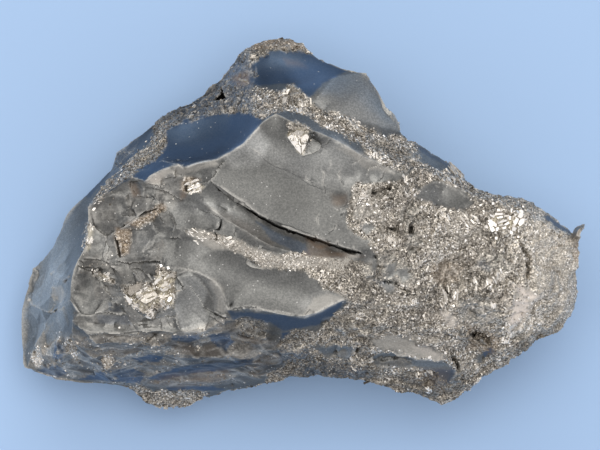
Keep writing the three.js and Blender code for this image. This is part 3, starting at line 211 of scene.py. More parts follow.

# Flat facets where small chips left the shells: how bright the break is, its slope, the direction
# that it rises towards, in degrees counter-clockwise from +X, and its outline. The brightness is
# partly the break's own tone and partly painted shading for the way the facet is tilted.
facets = [
    (2.0, 0.05, 90, [(-22, -9.4), (-20, -8.6), (-18, -9.6), (-16.6, -12), (-17.4, -14.8), (-16.4, -17),
     (-17, -18.9), (-21.2, -18.9), (-22.4, -15)]),
    (1.5, 0.05, 60, [(-18, -9.2), (-15.8, -10.2), (-14.2, -11.6), (-13.4, -15.8), (-15.4, -15.2),
     (-15.6, -12.6)]),
    (1.7, 0.03, 60, [(2.4, 22), (5, 20.2), (12, 18.4), (19, 16.4), (18, 21), (13, 27.6), (6, 26.6)]),
    (1.25, 0.0, 0, [(-45, -8), (-42, -9), (-41.4, -14), (-42.4, -18), (-44, -22), (-47.6, -22), (-49, -17),
     (-48, -10)]),
    (0.92, 0.12, 60, [(-37.6, 2.8), (-36.9, -0.2), (-35, -2), (-33.2, -1.2), (-31.2, 0), (-29.6, 1.4),
     (-31.5, 1.7), (-33, 2), (-30.6, 3.4), (-31, 5.4), (-33.8, 5.8)]),
    (0.6, 0.3, 120, [(-32.6, 1.9), (-30, 3.3), (-29.6, 1.9)]),
    (0.95, 0.12, 200, [(-29.6, 1.9), (-26, 2.8), (-24.6, 3.8), (-26.4, 5), (-29.6, 4.8), (-30.4, 3.4)]),
    (1.05, 0.25, 330, [(-30.5, 7.6), (-28.6, 8), (-27.8, 6.8), (-28, 5), (-30.2, 5)]),
    (1.3, 0.08, 90, [(-27.6, 7.6), (-26, 8.8), (-23.6, 10.3), (-22.5, 9.4), (-24.8, 8.3), (-25, 6.9),
     (-26.2, 7.2)]),
    (1.1, 0.18, 10, [(-24.8, 8.3), (-22.5, 9.4), (-22, 8.2), (-23.8, 6.4), (-25, 6.9)]),
    (1.15, 0.25, 60, [(-22.9, 10), (-22, 10.8), (-20.8, 10.2), (-20.6, 8.8), (-22.2, 8.8)]),
    (0.8, 0.2, 260, [(-27.8, 6.8), (-25, 6.2), (-23.4, 5.5), (-21.6, 4.6), (-24.4, 4.3), (-26, 5),
     (-27.6, 5)]),
    (1.3, 0.06, 80, [(-24, 4), (-22.6, 3.6), (-21, 4.2), (-18, 3.6), (-16.6, 2.4), (-14.4, 1.2), (-14.4, 0),
     (-16.4, -0.8), (-20.4, -0.4), (-22.2, 0.4), (-23, 2)]),
    (0.85, 0.2, 0, [(-23, 2), (-22.4, 0), (-23, -2.4), (-25.6, -1.4), (-26.6, 1), (-24.6, 3)]),
    (1.0, 0.14, 300, [(-30.4, -1), (-26.8, -0.6), (-25.6, -2), (-26.4, -4), (-28, -5), (-31.2, -5.4),
     (-30.6, -3.4)]),
    (1.15, 0.07, 250, [(-23.4, -2.4), (-18, -2.6), (-16, -4), (-18.6, -6), (-20, -7.8), (-24.2, -7.2),
     (-24.4, -5.6), (-28, -5), (-26.4, -4), (-25.4, -2.4)]),
    (0.75, 0.3, 90, [(-32.4, -6.4), (-28, -5.4), (-24.4, -5.8), (-24.4, -6.6), (-28, -6.7), (-31, -7)]),
    (0.8, 0.16, 40, [(-31, -7), (-25, -6.7), (-25.6, -8.6), (-26.4, -10), (-28, -9.8), (-28, -8.6),
     (-30.6, -7.6)]),
    (1.2, 0.2, 240, [(-30.7, -7.7), (-28.4, -8.2), (-27.8, -9.4), (-28.9, -9.9), (-29.5, -8.8)]),
    (0.9, 0.2, 150, [(-34.2, -7), (-31, -7.4), (-29.8, -9), (-29.6, -10.4), (-31.8, -10), (-33.2, -8.8)]),
    (0.75, 0.3, 240, [(-39, -6.4), (-36, -6.2), (-34.4, -7), (-33, -8.6), (-34.2, -8.4), (-36.6, -7.8),
     (-38.6, -7.6)]),
    (0.95, 0.1, 80, [(-39.8, -7.4), (-37.4, -8.4), (-35.6, -10.8), (-34.2, -12.6), (-36, -14.2),
     (-37, -16.2), (-39, -16), (-40.6, -13.6), (-41, -12)]),
    (1.15, 0.25, 280, [(-35.2, -11), (-32.4, -11), (-31.8, -12.4), (-32.6, -13.1), (-33.8, -12.8)]),
    (1.25, 0.14, 200, [(-37, -16.2), (-35.4, -14), (-34.2, -13), (-33.8, -13.6), (-34, -15.8)]),
    (0.65, 0.3, 150, [(-33.8, -13.6), (-32.4, -14.2), (-31.2, -16), (-34, -15.8)]),
    (0.8, 0.14, 100, [(-36.8, -16.3), (-34, -16), (-31, -16.2), (-29.6, -17.6), (-33, -18), (-37, -17.6)]),
    (1.0, 0.04, 270, [(-39, -16.4), (-37.4, -17.6), (-33, -18), (-29.6, -17.6), (-26, -18.6),
     (-26.2, -19.6), (-33.6, -19.6), (-38.2, -19.8)]),
    (0.9, 0.2, 220, [(-32, -13), (-29.6, -15.4), (-28.4, -16.4), (-30.8, -16), (-31.6, -15)]),
    (0.8, 0.2, 60, [(-28.6, -16), (-26.4, -17), (-25, -15.6), (-24.8, -18.4), (-28, -18.4)]),
    (0.95, 0.16, 190, [(-25, -15.4), (-22.6, -15), (-22.4, -16.4), (-23.4, -17), (-22.6, -18.4),
     (-24.8, -18.6)]),
    (0.55, 0.4, 10, [(-23, -16.6), (-22.2, -17.6), (-21.5, -18.6), (-22.8, -18.4)]),
    (0.45, 0.6, 0, [(-22.1, -9.5), (-21.2, -10.3), (-20.8, -11.8), (-21.6, -11)]),
    (1.1, 0.15, 300, [(-17, -14.9), (-13.2, -16.1), (-13.6, -17.8), (-16.6, -16.2)]),
    (1.05, 0.1, 80, [(-20.4, 9), (-15.4, 8.8), (-14.6, 10.4), (-15.4, 11.2), (-20.6, 10)]),
    (0.85, 0.06, 0, [(1.6, 16.8), (0.6, 12.7), (2.6, 12.9), (4.6, 14.2), (5.4, 15.4), (3.4, 16.4)]),
    (1.1, 0.12, 180, [(-38, -1), (-36.7, -0.4), (-35, -2.2), (-35.2, -4.4), (-37.6, -5.2)]),
    (1.3, 0.3, 200, [(-35.1, -2.4), (-34.1, -3.9), (-34.6, -5), (-35.5, -6)]),
    (0.9, 0.2, 30, [(-34, -4.2), (-33.4, -2.6), (-32.5, -4.6), (-32.3, -6), (-34.6, -6.4)]),
    (1.1, 0.25, 120, [(-38.6, -20.4), (-36, -20.4), (-35.8, -22.2), (-37.8, -22.6), (-39.2, -21.6)]),
    (1.05, 0.15, 80, [(-35.4, -21.2), (-33.4, -20.4), (-28.2, -20.8), (-29.8, -22), (-33, -22.4),
     (-35.8, -22.2)]),
    (1.1, 0.15, 260, [(-35.2, -22.6), (-30.6, -23.2), (-24.6, -23), (-28, -23.6), (-33, -24.4)]),
    (0.7, 0.35, 90, [(-31.6, -22.7), (-29.4, -21.9), (-27.6, -21), (-26, -21.4), (-26, -22.4), (-30, -23)]),
    (1.25, 0.12, 60, [(-44.8, -11.4), (-43, -10.8), (-41.8, -12.4), (-42.8, -14), (-44.4, -13.6)]),
    (0.7, 0.2, 180, [(-49, -14.8), (-48, -14.8), (-45.2, -16.2), (-46.4, -17.6), (-48.6, -19)]),
    (1.1, 0.12, 30, [(-46.6, -17), (-42.4, -14.6), (-41.6, -17.6), (-43.2, -20), (-46.6, -22.4)]),
    (1.2, 0.2, 200, [(-10.6, -14.5), (-8.2, -14.6), (-7.2, -15.3), (-9.8, -15.4)]),
    (1.25, 0.15, 180, [(0.6, -16.4), (1.4, -15.4), (2.2, -14.8), (2.4, -16)]),
    (1.25, 0.06, 120, [(19.4, 4.9), (22.2, 7.1), (23.4, 7.9), (25.4, 7.8), (28, 6.9), (30, 5.5),
     (31.2, 4.2), (28, 2.7), (23.4, 4)]),
    (1.2, 0.1, 0, [(12.2, 8.2), (12.4, 9.8), (14, 10.4), (15, 9.6), (14.4, 8.2), (13.6, 7.7)]),
    (0.75, 0.0, 0, [(13.8, -23.6), (17.4, -23.3), (20.8, -24.6), (20.6, -25.5), (18, -25.5), (14, -25.1)]),
    (1.2, 0.1, 90, [(2.4, -21.9), (6.2, -21.5), (6.4, -23.7), (4.6, -23.6)]),
    (1.6, 0.1, 200, [(6.7, -21.6), (8.4, -21.8), (10, -22.5), (8.8, -24), (6.8, -23.7)]),
    (1.4, 0.08, 60, glassy_outlines[5]), (1.3, 0.08, 200, glassy_outlines[4]),
    (1.6, 0.08, 60, glassy_outlines[6]), (1.25, 0.08, 60, glassy_outlines[7]),
]

# Broad soft changes of tone, each over one part of the stone, partly the ore's own tone and partly
# painted shading of that part: the tone, how soft the border is, and the outline.
washes = [
    # the upper shell: its crest, wrinkled north-east corner, middle, and lip beside the open gap
    (1.9, 2.5, [(-14, 11.5), (-8, 17), (-2, 13), (2, 13), (6, 15.5), (14, 11), (17, 9), (14, 7.6), (9, 7),
     (4, 7), (0, 8.5), (-6, 11.5), (-10, 14)]),
    (1.9, 1.2, [(-13.6, 12.2), (-9.6, 15), (-7.2, 17.2), (-5.4, 14.6), (-7.4, 10.6), (-12, 10.2)]),
    (1.3, 2.5, [(-1, 18), (4, 16.6), (9, 14), (8, 10), (0, 12)]),
    (1.3, 2, [(11, 12.4), (14, 10.4), (18, 9.6), (16, 12.6)]),
    (0.82, 2, [(-5, 6.8), (0.6, 7), (2.4, 3.4), (-0.6, 1.4), (-4, 2)]),
    (1.8, 1.2, [(-17, 4), (-12, 3), (-8, 1), (-3, -2), (4, -3.4), (5, -5.6), (-2, -4.6), (-8, -2),
     (-14, 2)]),
    (1.3, 2, [(-13, 2.6), (-8, 0.6), (-2, -2.6), (4, -4.4), (5, -5.6), (-2, -4), (-8, -2), (-13, 0)]),
    (1.35, 2.5, [(-20, 6), (-12, 4.4), (-10, 2), (-18, 1.4)]),
    (0.8, 2, [(-20, 0.4), (-16, 0), (-8, -3), (-10, -4), (-18, -1)]),
    # the lower shell: its back, its end and the darker ore beside it
    (1.3, 2.5, [(-20, -6), (-8, -8), (-2, -8.6), (-6, -11), (-16, -10)]),
    (1.12, 2.5, [(-14, -11.4), (-4, -10), (4, -9.6), (8.6, -12.6), (4, -16.4), (-4, -14.8), (-13, -13.6)]),
    (1.6, 2, [(0, -14), (4, -11.4), (8, -13), (2, -16)]),
    (0.82, 1.5, [(3, -7), (7, -6.4), (9, -7), (8.4, -10), (5, -10)]),
    # the western shells: darker rim, darker shells beside the nest of crystals, paler ledge below it
    (1.12, 3, [(-40, 8), (-20, 11), (-12, 4), (-20, -20), (-40, -20)]),
    (0.85, 0.5, [(-32.9, -0.7), (-30.5, -0.9), (-30.6, -5), (-32.3, -5)]),
    (1.25, 3, [(-31, 13), (-26, 7), (-20, 7), (-24, 12)]),
    (1.4, 2.5, [(-37, -2), (-28, -2), (-26, -6), (-34, -8)]),
    (1.45, 2.5, [(-36, -11), (-32, -12), (-28, -15), (-22, -15), (-22, -19), (-37, -19)]),
    (0.78, 2, [(-39, 1.8), (-36.2, 1.4), (-35.6, -5.4), (-36.8, -14), (-40.4, -13), (-39.4, -6)]),
    (0.62, 1.5, [(-20.8, 1.8), (-16.8, 2.2), (-15.4, 0.2), (-16, -2.2), (-20.4, -1.2)]),
    (0.8, 2, [(-32.5, -7), (-29, -9.4), (-29.6, -14.6), (-36, -17.6), (-34, -12)]),
    (0.78, 2, [(-24.6, -1.8), (-20.4, -3), (-20.2, -13), (-22.4, -14), (-22.6, -8)]),
    (1.3, 2, [(-28, -15.4), (-22, -15), (-21.6, -18), (-28, -18.4)]),
    # the steep south face and its two ledges
    (0.8, 2.5, [(-29, -18.6), (-22, -20.6), (-12, -22), (-11, -18.4), (-4.4, -18.6), (-3.6, -25.6),
     (-12, -27), (-20, -28.6), (-28, -28.8)]),
    (0.62, 2, [(-12, -18.2), (-4.2, -18.2), (-3.6, -26), (-12, -26.4)]),
    (1.35, 2, [(-20.4, -18.6), (-12.4, -17.8), (-12, -21.6), (-19, -22)]),
    (1.2, 2, [(-37, -21.6), (-31.6, -22), (-31, -25.6), (-36.6, -26)]),
    # the west flank
    (1.7, 3, [(-41, 2), (-41, -14), (-44, -22), (-36, -24), (-36, -27), (-50, -26), (-52, -12), (-44, 0)]),
    (1.25, 3, [(-50, -4), (-44, -3), (-42, -10), (-50, -10)]),
    (1.25, 2.5, [(-43.5, 2), (-40.5, 2), (-41, -9.5), (-41, -21), (-45, -21), (-50, -17), (-47, -9)]),
    # the back: hollow, crystals west of the top scar, knob, cap, scar and the strip of crystals below it
    (1.25, 2.5, [(-26, 18), (-20, 19.4), (-12, 19.8), (-8, 18.6), (-9, 16.6), (-16, 17.4), (-22, 15.6)]),
    (1.2, 1.5, [(-8, 16.6), (-9, 19), (-16, 19), (-22, 17.4), (-20, 18.8), (-12, 20.2), (-7, 19.4)]),
    (0.75, 2, [(-24, 12), (-20, 12.6), (-14, 14), (-12, 12.8), (-20, 10.6), (-26, 10.4)]),
    (0.6, 2.5, [(-13, 31), (-5, 27), (-4, 23), (-10, 22), (-24, 18), (-28, 15), (-30, 20), (-14, 33)]),
    (1.7, 2, [(-14, 28.6), (-8, 30), (-7.8, 25), (-8.2, 21.6), (-15, 21.6)]),
    (0.82, 2, [(-4.6, 25.4), (-1.4, 26), (1, 23.4), (0, 21.4), (-4.4, 21.6)]),
    (0.62, 1.5, [(-9, 31.2), (-7, 34.4), (-3.4, 34.2), (-4.4, 31.2)]),
    (1.15, 2, [(-7, 30.4), (2, 30.6), (6, 28), (0, 28), (-6, 28)]),
    (1.65, 2.5, [(-3, 29.4), (1, 30), (6, 27), (4, 24), (0, 24.4)]),
    (1.4, 2.5, [(6, 20), (14, 16), (18, 18), (12, 24)]),
    (0.86, 2, [(2, 20.6), (8, 17.6), (14, 14), (18, 12), (22, 12), (14, 17), (6, 21)]),
    (1.25, 2, [(0.4, 21.6), (3, 20.6), (8.4, 16), (6.4, 14.2), (2.6, 17)]),
    # the granular ore: rim of the shell, middle, dome, slopes, lens and foot
    (1.3, 2.5, [(8.4, 4.6), (11, 4.2), (12.6, 0.6), (12.8, -3.6), (9, -2), (8, 0)]),
    (0.82, 1.5, [(11.8, 6.2), (14, 6.4), (16.6, 5), (15.4, 2.6), (12.8, 3)]),
    (0.74, 2, [(16.2, 13.6), (20.4, 12.4), (23.6, 9.6), (20.4, 6.2), (16, 7.4)]),
    (1.35, 2, [(19.6, 2.4), (24, 2.8), (28.4, 1), (27.6, -2.4), (21, -2.2)]),
    (1.3, 2.5, [(20, 5.4), (22.2, 7), (26.4, 6.6), (25, 3.8), (22, 4.6)]),
    (0.8, 1.5, [(26.4, 7.6), (31, 4.6), (31, 3), (26, 2.6), (24.4, 3.4), (27.4, 5)]),
    (1.45, 3, [(23, -4), (29, -4.6), (29, -11), (23, -10)]),
    (0.85, 2, [(19.6, -10.4), (24, -10.8), (24.6, -16), (20.4, -17)]),
    (1.3, 2, [(28, -14), (35, -14), (38, -20), (36, -26), (31, -26), (31, -19.6), (27.6, -18)]),
    (1.75, 1.5, [(12, -22), (26, -23), (28, -26), (16, -26)]),
    (0.68, 2.5, [(-6, -24), (4, -24.4), (10, -27), (24, -27), (24, -34), (0, -31), (-6, -29)]),
    # the east end: paler, most of all along its rim and crushed middle
    (1.12, 4, [(36, 3), (44, 3), (52, -3), (52, -16), (44, -22), (36, -20), (37, -12), (38, -6)]),
    (1.4, 2, [(36, 2.4), (43, 2.8), (49, 0), (52, -3), (52, -7), (44, -6.4), (43.6, -12), (44.4, -19.6),
     (37, -21), (36, -10), (38, -6)]),
]

# Edges of shells that are crushed pale: the width, the strength and the line.
crushed_edges = [
    (0.45, 1.1, [(-27.7, 7.6), (-26.2, 8.9), (-23.4, 10.4)]),
    (0.3, 1.0, [(-23.4, 10.4), (-21.9, 10.9), (-20.8, 10.2)]),
    (0.45, 1.5, [(-20.8, 10.2), (-19.4, 10.7), (-18, 11.2), (-16.5, 11.5), (-15, 11.7), (-13.8, 12.3),
     (-12.5, 13), (-11.3, 13.8), (-10, 14.5), (-9, 15.7), (-8, 16.9), (-7.1, 17.9)]),
    (0.4, 1.0, [(-38, 3.4), (-38, 1), (-38.2, -2), (-38.3, -4.2), (-39, -5.2)]),
    (0.35, 0.8, [(-40.5, -7.8), (-41, -10.6), (-41.2, -13.2)]),
    (0.4, 0.75, [(-23, -7.5), (-20.5, -7.9), (-18, -8.7), (-15.8, -9.8), (-14.4, -11), (-13.7, -13.5),
     (-13.2, -15.9)]),
    (0.5, 1.3, [(-0.8, -16.4), (0.8, -16.6), (2.8, -15.9), (3.9, -15.3), (5, -14.7), (6.6, -13.9),
     (8.2, -13)]),
    (0.4, 1.0, [(-21.2, -19), (-19.4, -19.2), (-17, -19)]),
    (0.35, 0.7, [(-39.2, -18.6), (-37.8, -19.6), (-35, -19.5)]),
    (0.4, 0.8, [(5.4, 15.3), (8, 14), (10.6, 12.6)]), (0.4, 0.9, [(11.4, 11.8), (14, 10.7), (17.2, 9.2)]),
    (0.45, 0.9, [(17.6, -22.7), (20.8, -24), (26.2, -24.4)]),
    (0.35, 0.7, [(13.4, -25.2), (17.6, -25.7), (21, -25.2)]),
    (0.25, 0.9, [(-16.6, 2.4), (-15.4, 1.9), (-14.2, 1.1)]),
    (0.35, 0.7, [(-49.3, -14.4), (-47.8, -14.6), (-46.4, -15.6), (-44.8, -15.8)]),
    (0.3, 0.7, [(-35.1, -2.2), (-34.2, -3.9), (-34.8, -5.2), (-35.6, -6)]),
    (0.25, 0.6, [(-36.8, -0.3), (-35.9, -1.1), (-34.9, -2.1)]),
    (0.25, 0.6, [(-30.7, -7.7), (-29.4, -8.8), (-28.8, -9.9), (-27.8, -9.6)]),
    (0.3, 0.7, [(-33.8, -12.9), (-32.4, -13.1), (-31.8, -12.2)]),
    (0.3, 0.6, [(-36.9, -16.2), (-35.6, -14.4), (-34.4, -13.1)]),
    (0.3, 0.55, [(-31.4, -5.5), (-28.4, -5), (-26.6, -3.6), (-26.2, -2.2)]),
    (0.3, 1.2, [(3.8, 10.2), (4.3, 9), (4, 8), (4.3, 6.6)]),
    (0.3, 1.2, [(7.5, 10.2), (6.9, 9), (7.3, 7.8)]), (0.3, 1.0, [(49.9, -2.6), (50.6, -1.2), (51, 0)]),
    (0.25, 1.2, [(1, 8.9), (1.2, 8), (1.9, 7.7)]), (0.3, 1.1, [(3.5, 2.3), (3, 1.2), (3.4, -0.2)]),
    (0.3, 1.0, [(-9, 13.8), (-7.6, 13), (-6.6, 12)]), (0.3, 1.1, [(5.8, 3.2), (7, 2.9), (8, 3.3)]),
    (0.35, 0.7, [(12, 8.4), (12.3, 9.8), (14, 10.4), (15.1, 9.6), (14.6, 8.4)]),
    (0.3, 1.0, [(5.4, -0.9), (6.4, -0.4), (6.6, 0.6)]),
    (0.3, 1.0, [(9.2, 10.6), (10.6, 11.6), (11.6, 12.6)]), (0.28, 0.9, [(5.2, 12), (5.6, 10.8), (5, 9.8)]),
    (0.3, 0.7, [(-33.4, -20.2), (-31.2, -19.9), (-28.6, -20.3)]),
    (0.3, 0.6, [(-35.4, -22.2), (-33.2, -22.4), (-30.4, -22.9), (-26, -22.4)]),
    (0.35, 0.6, [(22.4, 7.6), (25.4, 7.8), (28.4, 6.2), (30.8, 4.5)]),
    (0.35, 0.6, [(-11.8, -0.4), (-11.6, -2.4), (-9, -3.4)]),
    (0.3, 0.8, [(-8.4, -14.9), (-5, -15.4), (-1, -16.1)]),
    (0.3, 0.6, [(-28, -27.9), (-24.4, -26.8), (-17, -26.1), (-10, -24.9)]),
    (0.3, 0.6, [(28.5, 2.9), (29.6, 1), (31, -0.6), (31.8, -1.8)]),
]

# Patches where the ore is crushed to pale powder: the strength and the outline.
powder = [
    (1.0, [(38.3, -10.4), (39.6, -10.8), (41.4, -11.9), (43.2, -13.1), (41.6, -13.4), (39.8, -12.7),
     (38.5, -11.6)]),
    (1.0, [(37.8, -14.2), (38.8, -13.4), (40.2, -13.1), (41.3, -14), (41.1, -15.6), (40, -17.2),
     (38.4, -18.4), (37.9, -19.6), (37.5, -17.8), (37.6, -16)]),
    (0.45, [(23.6, -16.2), (25.4, -15.4), (27.2, -16), (28.8, -18), (27.8, -18.8), (25.8, -17.4)]),
    (0.35, [(36.2, -12), (37.6, -12.4), (37.4, -14.4), (36.2, -13.8)]),
    (0.4, [(-27.4, 7.8), (-26.2, 8.6), (-24.6, 9.4), (-25, 8), (-26.4, 7.6)]),
    (0.35, [(20.4, -22), (22.6, -21.8), (25.8, -23.8), (23, -23.6)]),
]

# Open cracks: the width, the depth and the line.
cracks = [
    (0.14, 0.35, [(-15, 6.9), (-12.6, 5.3), (-10, 3.7), (-7.4, 1.6)]),
    (0.15, 0.8, [(-8.6, 2.6), (-7.4, 1.6), (-4.6, 0), (-1, -1.3), (2, -2.3), (5, -3.3), (8, -4.3),
     (11, -5.1)]),
    (0.14, 0.5, [(-14.1, 1.1), (-14.3, -0.3), (-14.9, -1.9), (-15.3, -3.3)]),
    (0.2, 0.9, [(-33.3, -2.2), (-32.7, -4), (-32.2, -6)]),
    (0.18, 0.6, [(-32.4, -0.6), (-31.2, 0.1), (-29.7, 1.3), (-27.2, 2.2), (-25.2, 3.1)]),
    (0.24, 2.6, [(39.5, -3.1), (40.3, -4.3), (41.4, -5.9), (41.2, -7.2), (41.3, -8), (40.8, -9.6)]),
    (0.14, 0.3, [(14.2, -24.4), (16.4, -24), (18.4, -24.3), (20.4, -25)]),
    (0.12, 0.35, [(-16.4, -15.3), (-15, -16.1), (-13.8, -16.6), (-12.6, -16.8)]),
    (0.14, 0.4, [(13.3, -5.4), (13.7, -6.3)]), (0.35, 1.0, [(19.7, 0.2), (20, -0.6), (19.7, -2)]),
    (0.4, 1.2, [(15.6, 7), (16.2, 6.2)]), (0.35, 1.0, [(12.8, 6), (13.8, 5.6)]),
    (0.16, 0.5, [(14.4, -10.2), (16.8, -10.4), (19.4, -12.2)]),
    (0.3, 0.8, [(8.6, -24.4), (10.2, -23.4), (10.6, -22)]),
    (0.3, 1.2, [(30.6, -18.9), (30.8, -19.6), (32, -20.6), (33.6, -22)]),
    (0.2, 0.5, [(25.9, -10.8), (26.8, -13.6)]), (0.3, 0.8, [(27.4, -23.4), (28.6, -25.6), (28.4, -27)]),
    (0.2, 0.6, [(15.4, -0.6), (17.4, -0.9)]), (0.25, 0.6, [(-20.4, 7.8), (-20.5, 6.4), (-20, 5.7)]),
    (0.2, 0.5, [(-41.9, -9.6), (-42.4, -10.4)]),
]

# Low ribs and ripples that run out from where a shell was struck: the kind, the struck point or
# the direction across the ribs, their spacing and height, and the outline they lie in.
ripples = [
    ("ring", (-22, -6), 1.05, 0.03, [(-20.5, -9.4), (-17, -8.8), (-13.6, -11.6), (-13.2, -15.8),
     (-16.8, -18.6), (-21.6, -18.8), (-22.3, -13)]),
    ("ring", (0.5, 31), 1.9, 0.012, [(2, 21.8), (3.6, 20), (10, 18), (18, 16), (18, 20), (12, 27),
     (5, 27)]),
    ("rib", (1, 0.03), 1.55, 0.01, [(-12.6, -6), (1, -8.4), (7, -12.8), (1.2, -16), (-12.4, -14.6)]),
    ("ring", (-14, 3), 1.7, 0.005, [(-12, 12), (-6, 15.6), (2, 11), (4, 4), (1, -1), (-9, 4)]),
    ("ring", (-30, 2), 1.2, 0.02, [(-37.6, 2.6), (-34, 5.4), (-30.6, 5.6), (-30.8, 2.2), (-33, -0.8),
     (-36.4, 0)]),
    ("ring", (-8, 27), 2.2, 0.012, [(-28, 9.4), (-24, 16.6), (-10, 19.4), (-8, 16.4), (-20, 10.6)]),
    ("ring", (14, 9), 0.9, 0.015, [(11.6, 8.4), (12.6, 10.3), (15, 9.8), (14.2, 7.8)]),
    ("ring", (26, 12), 1.2, 0.02, [(22, 6.8), (24, 7.8), (29, 5.6), (30.4, 4.2), (26.8, 2.8)]),
    ("rib", (-0.5, 0.86), 1.5, 0.34, [(-29.8, -10.5), (-26.2, -10.4), (-24.4, -12.6), (-27, -14.8),
     (-31.4, -13)]),
    ("rib", (0.8, -0.55), 1.3, 0.3, [(-25.6, -7.4), (-22.4, -8.8), (-22.4, -14.6), (-25, -14.6),
     (-25.4, -11)]),
]

# Round pits: the middle, radius and depth.
pits = [
    (6.9, 4.3, 1.5, 0.3), (8.5, 1.5, 0.9, 0.15), (13.2, 9.2, 1.7, 0.35), (9.2, 8.8, 1.6, 0.2),
    (-25.4, 4.9, 0.6, 0.3), (16.2, -8.9, 1.0, 0.25), (18.6, -9, 1.3, 0.25), (-12.1, 3.3, 0.35, 0.2),
    (11.6, -0.4, 1.5, 0.3), (14.2, -17, 1.2, 0.3), (17.6, -15.8, 1.3, 0.5), (4.6, -18, 1.0, 0.4),
    (22.2, -15.4, 1.2, 0.4), (43.6, -20.2, 1.6, 0.5), (29.8, -16, 2.4, 0.35), (8.6, -27, 1.2, 0.4),
    (23, -27.6, 1.6, 0.5), (14.6, 5.8, 1.3, 0.8), (20, -4.6, 1.6, 0.3),
]

# Ground where many small chips broke away: the western shells, the foot of the south side and
# the west flank.
broken_west = [
    (-38.4, 3.4), (-34, 6), (-30, 8), (-26, 9), (-22.6, 10.4), (-20.6, 8.6), (-21.6, 5), (-23, 2),
    (-23, -2), (-24, -5), (-24.4, -8), (-22.4, -9), (-22, -18.8), (-39.4, -18.8), (-42, -13), (-41, -9),
    (-39, -5),
]
broken_south = [
    (-43.4, -19.4), (-36, -19.8), (-22, -19.4), (-16.4, -17.6), (-12.6, -16.6), (-5.8, -17.2),
    (-5.4, -20.6), (-3, -21.4), (-3, -25.4), (-6, -27.2), (-12, -28.6), (-17, -30), (-31, -28.8),
    (-46, -27.6), (-48.4, -23),
]
broken_flank = [
    (-41, -4), (-41.6, -12), (-43.6, -19.4), (-47, -26), (-52, -24), (-51, -10), (-44, -2),
]
broken_ground = (broken_west, broken_south, broken_flank)

# Numbers of the sine hash that the random fields are made from.
HASH = (127.1, 311.7, 74.7)
HASH_SCALE = 43758.5453


def edge_distance(xy, outline):
    """Signed distance of points from an outline, positive inside."""
    x, y = xy[:, 0], xy[:, 1]
    inside = np.zeros(len(xy), bool)
    nearest = np.full(len(xy), FAR)
    for (ax, ay), (bx, by) in zip(outline, outline[1:] + outline[:1]):
        run, rise = bx - ax, by - ay
        along = np.clip(((x - ax) * run + (y - ay) * rise) / (run ** 2 + rise ** 2), 0, 1)
        nearest = np.minimum(nearest, np.hypot(x - ax - along * run, y - ay - along * rise))
        if ay != by:
            inside ^= ((ay > y) != (by > y)) & (x < run * (y - ay) / rise + ax)
    return np.where(inside, nearest, -nearest)


def inside_share(xy, outline, soft, at_edge=0.5):
    """1 inside an outline, 0 outside, over a border of the given width."""
    return np.clip(edge_distance(xy, outline) / soft + at_edge, 0, 1)


def line_distance(xy, line):
    """Distance from a line, the side points lie on (left is positive) and a fade to its ends."""
    nearest = np.full(len(xy), FAR)
    side = np.ones(len(xy))
    place = np.zeros(len(xy))
    done = 0.0
    for (ax, ay), (bx, by) in zip(line, line[1:]):
        length = math.hypot(bx - ax, by - ay)
        ux, uy = (bx - ax) / length, (by - ay) / length
        rx, ry = xy[:, 0] - ax, xy[:, 1] - ay
        along = np.clip(rx * ux + ry * uy, 0, length)
        gap = np.hypot(rx - along * ux, ry - along * uy)
        closer = gap < nearest
        nearest[closer] = gap[closer]
        side[closer] = np.sign(ux * ry - uy * rx)[closer]
        place[closer] = done + along[closer]
        done += length
    fade = np.clip(np.minimum(place, done - place) / min(0.8, done * 0.3), 0, 1)
    return nearest, side, fade


def bell(distance, width):
    """1 at no distance, falling smoothly to nothing over about two widths."""
    return np.exp(-(distance / width) ** 2)


def swell(points, size, seed=0):
    """Smooth random field between -1 and 1 with features of the given size."""
    p = points / size + 17.3 * seed
    cell = np.floor(p)
    t = p - cell
    t = t * t * (3 - 2 * t)
    total = np.zeros(len(points))
    for corner in itertools.product((0, 1), repeat=3):
        px, py, pz = ((cell[:, k] + corner[k]) * HASH[k] for k in range(3))
        wx, wy, wz = (t[:, k] if corner[k] else 1 - t[:, k] for k in range(3))
        chance = np.sin(px + py + pz) * HASH_SCALE
        total += wx * wy * wz * (2 * (chance - np.floor(chance)) - 1)
    return total


def chips(points, size, seed, bowl=0.3, tilt=0.8):
    """Shallow bowls that meet in ridges, as small chips leave them.

    Returns their height, two random numbers for each bowl, and how near a ridge is.
    """
    p = points / size + 11.7 * seed
    cell = np.floor(p)
    lowest, next_low = np.full(len(points), FAR), np.full(len(points), FAR)
    first, second = np.zeros(len(points)), np.zeros(len(points))
    for step in itertools.product((-1, 0, 1), repeat=3):
        corner = cell + step
        phase = corner @ HASH
        chance = [np.modf(np.abs(np.sin(phase + 19.19 * k) * HASH_SCALE))[0] for k in range(6)]
        away = p - corner - np.stack(chance[:3], 1)
        lean_x, lean_y, lean_z = (away[:, k] * (chance[3 + k] - 0.5) for k in range(3))
        height = bowl * np.sum(away ** 2, 1) + 0.25 * chance[5] + tilt * (lean_x + lean_y + lean_z)
        lower = height < lowest
        next_low = np.where(lower, lowest, np.minimum(next_low, height))
        lowest = np.where(lower, height, lowest)
        first = np.where(lower, chance[3], first)
        second = np.where(lower, chance[4], second)
    return size * lowest, first, second, bell((next_low - lowest) * size, 0.12)


def frayed(points, amount, size):
    """Plan position of the points, moved at random so that drawn lines come out ragged."""
    shift = [swell(points, size, 1), swell(points, size, 2)]
    return points[:, :2] + amount * np.stack(shift, 1)


def upper(points, normals):
    return normals[:, 2] > -0.15


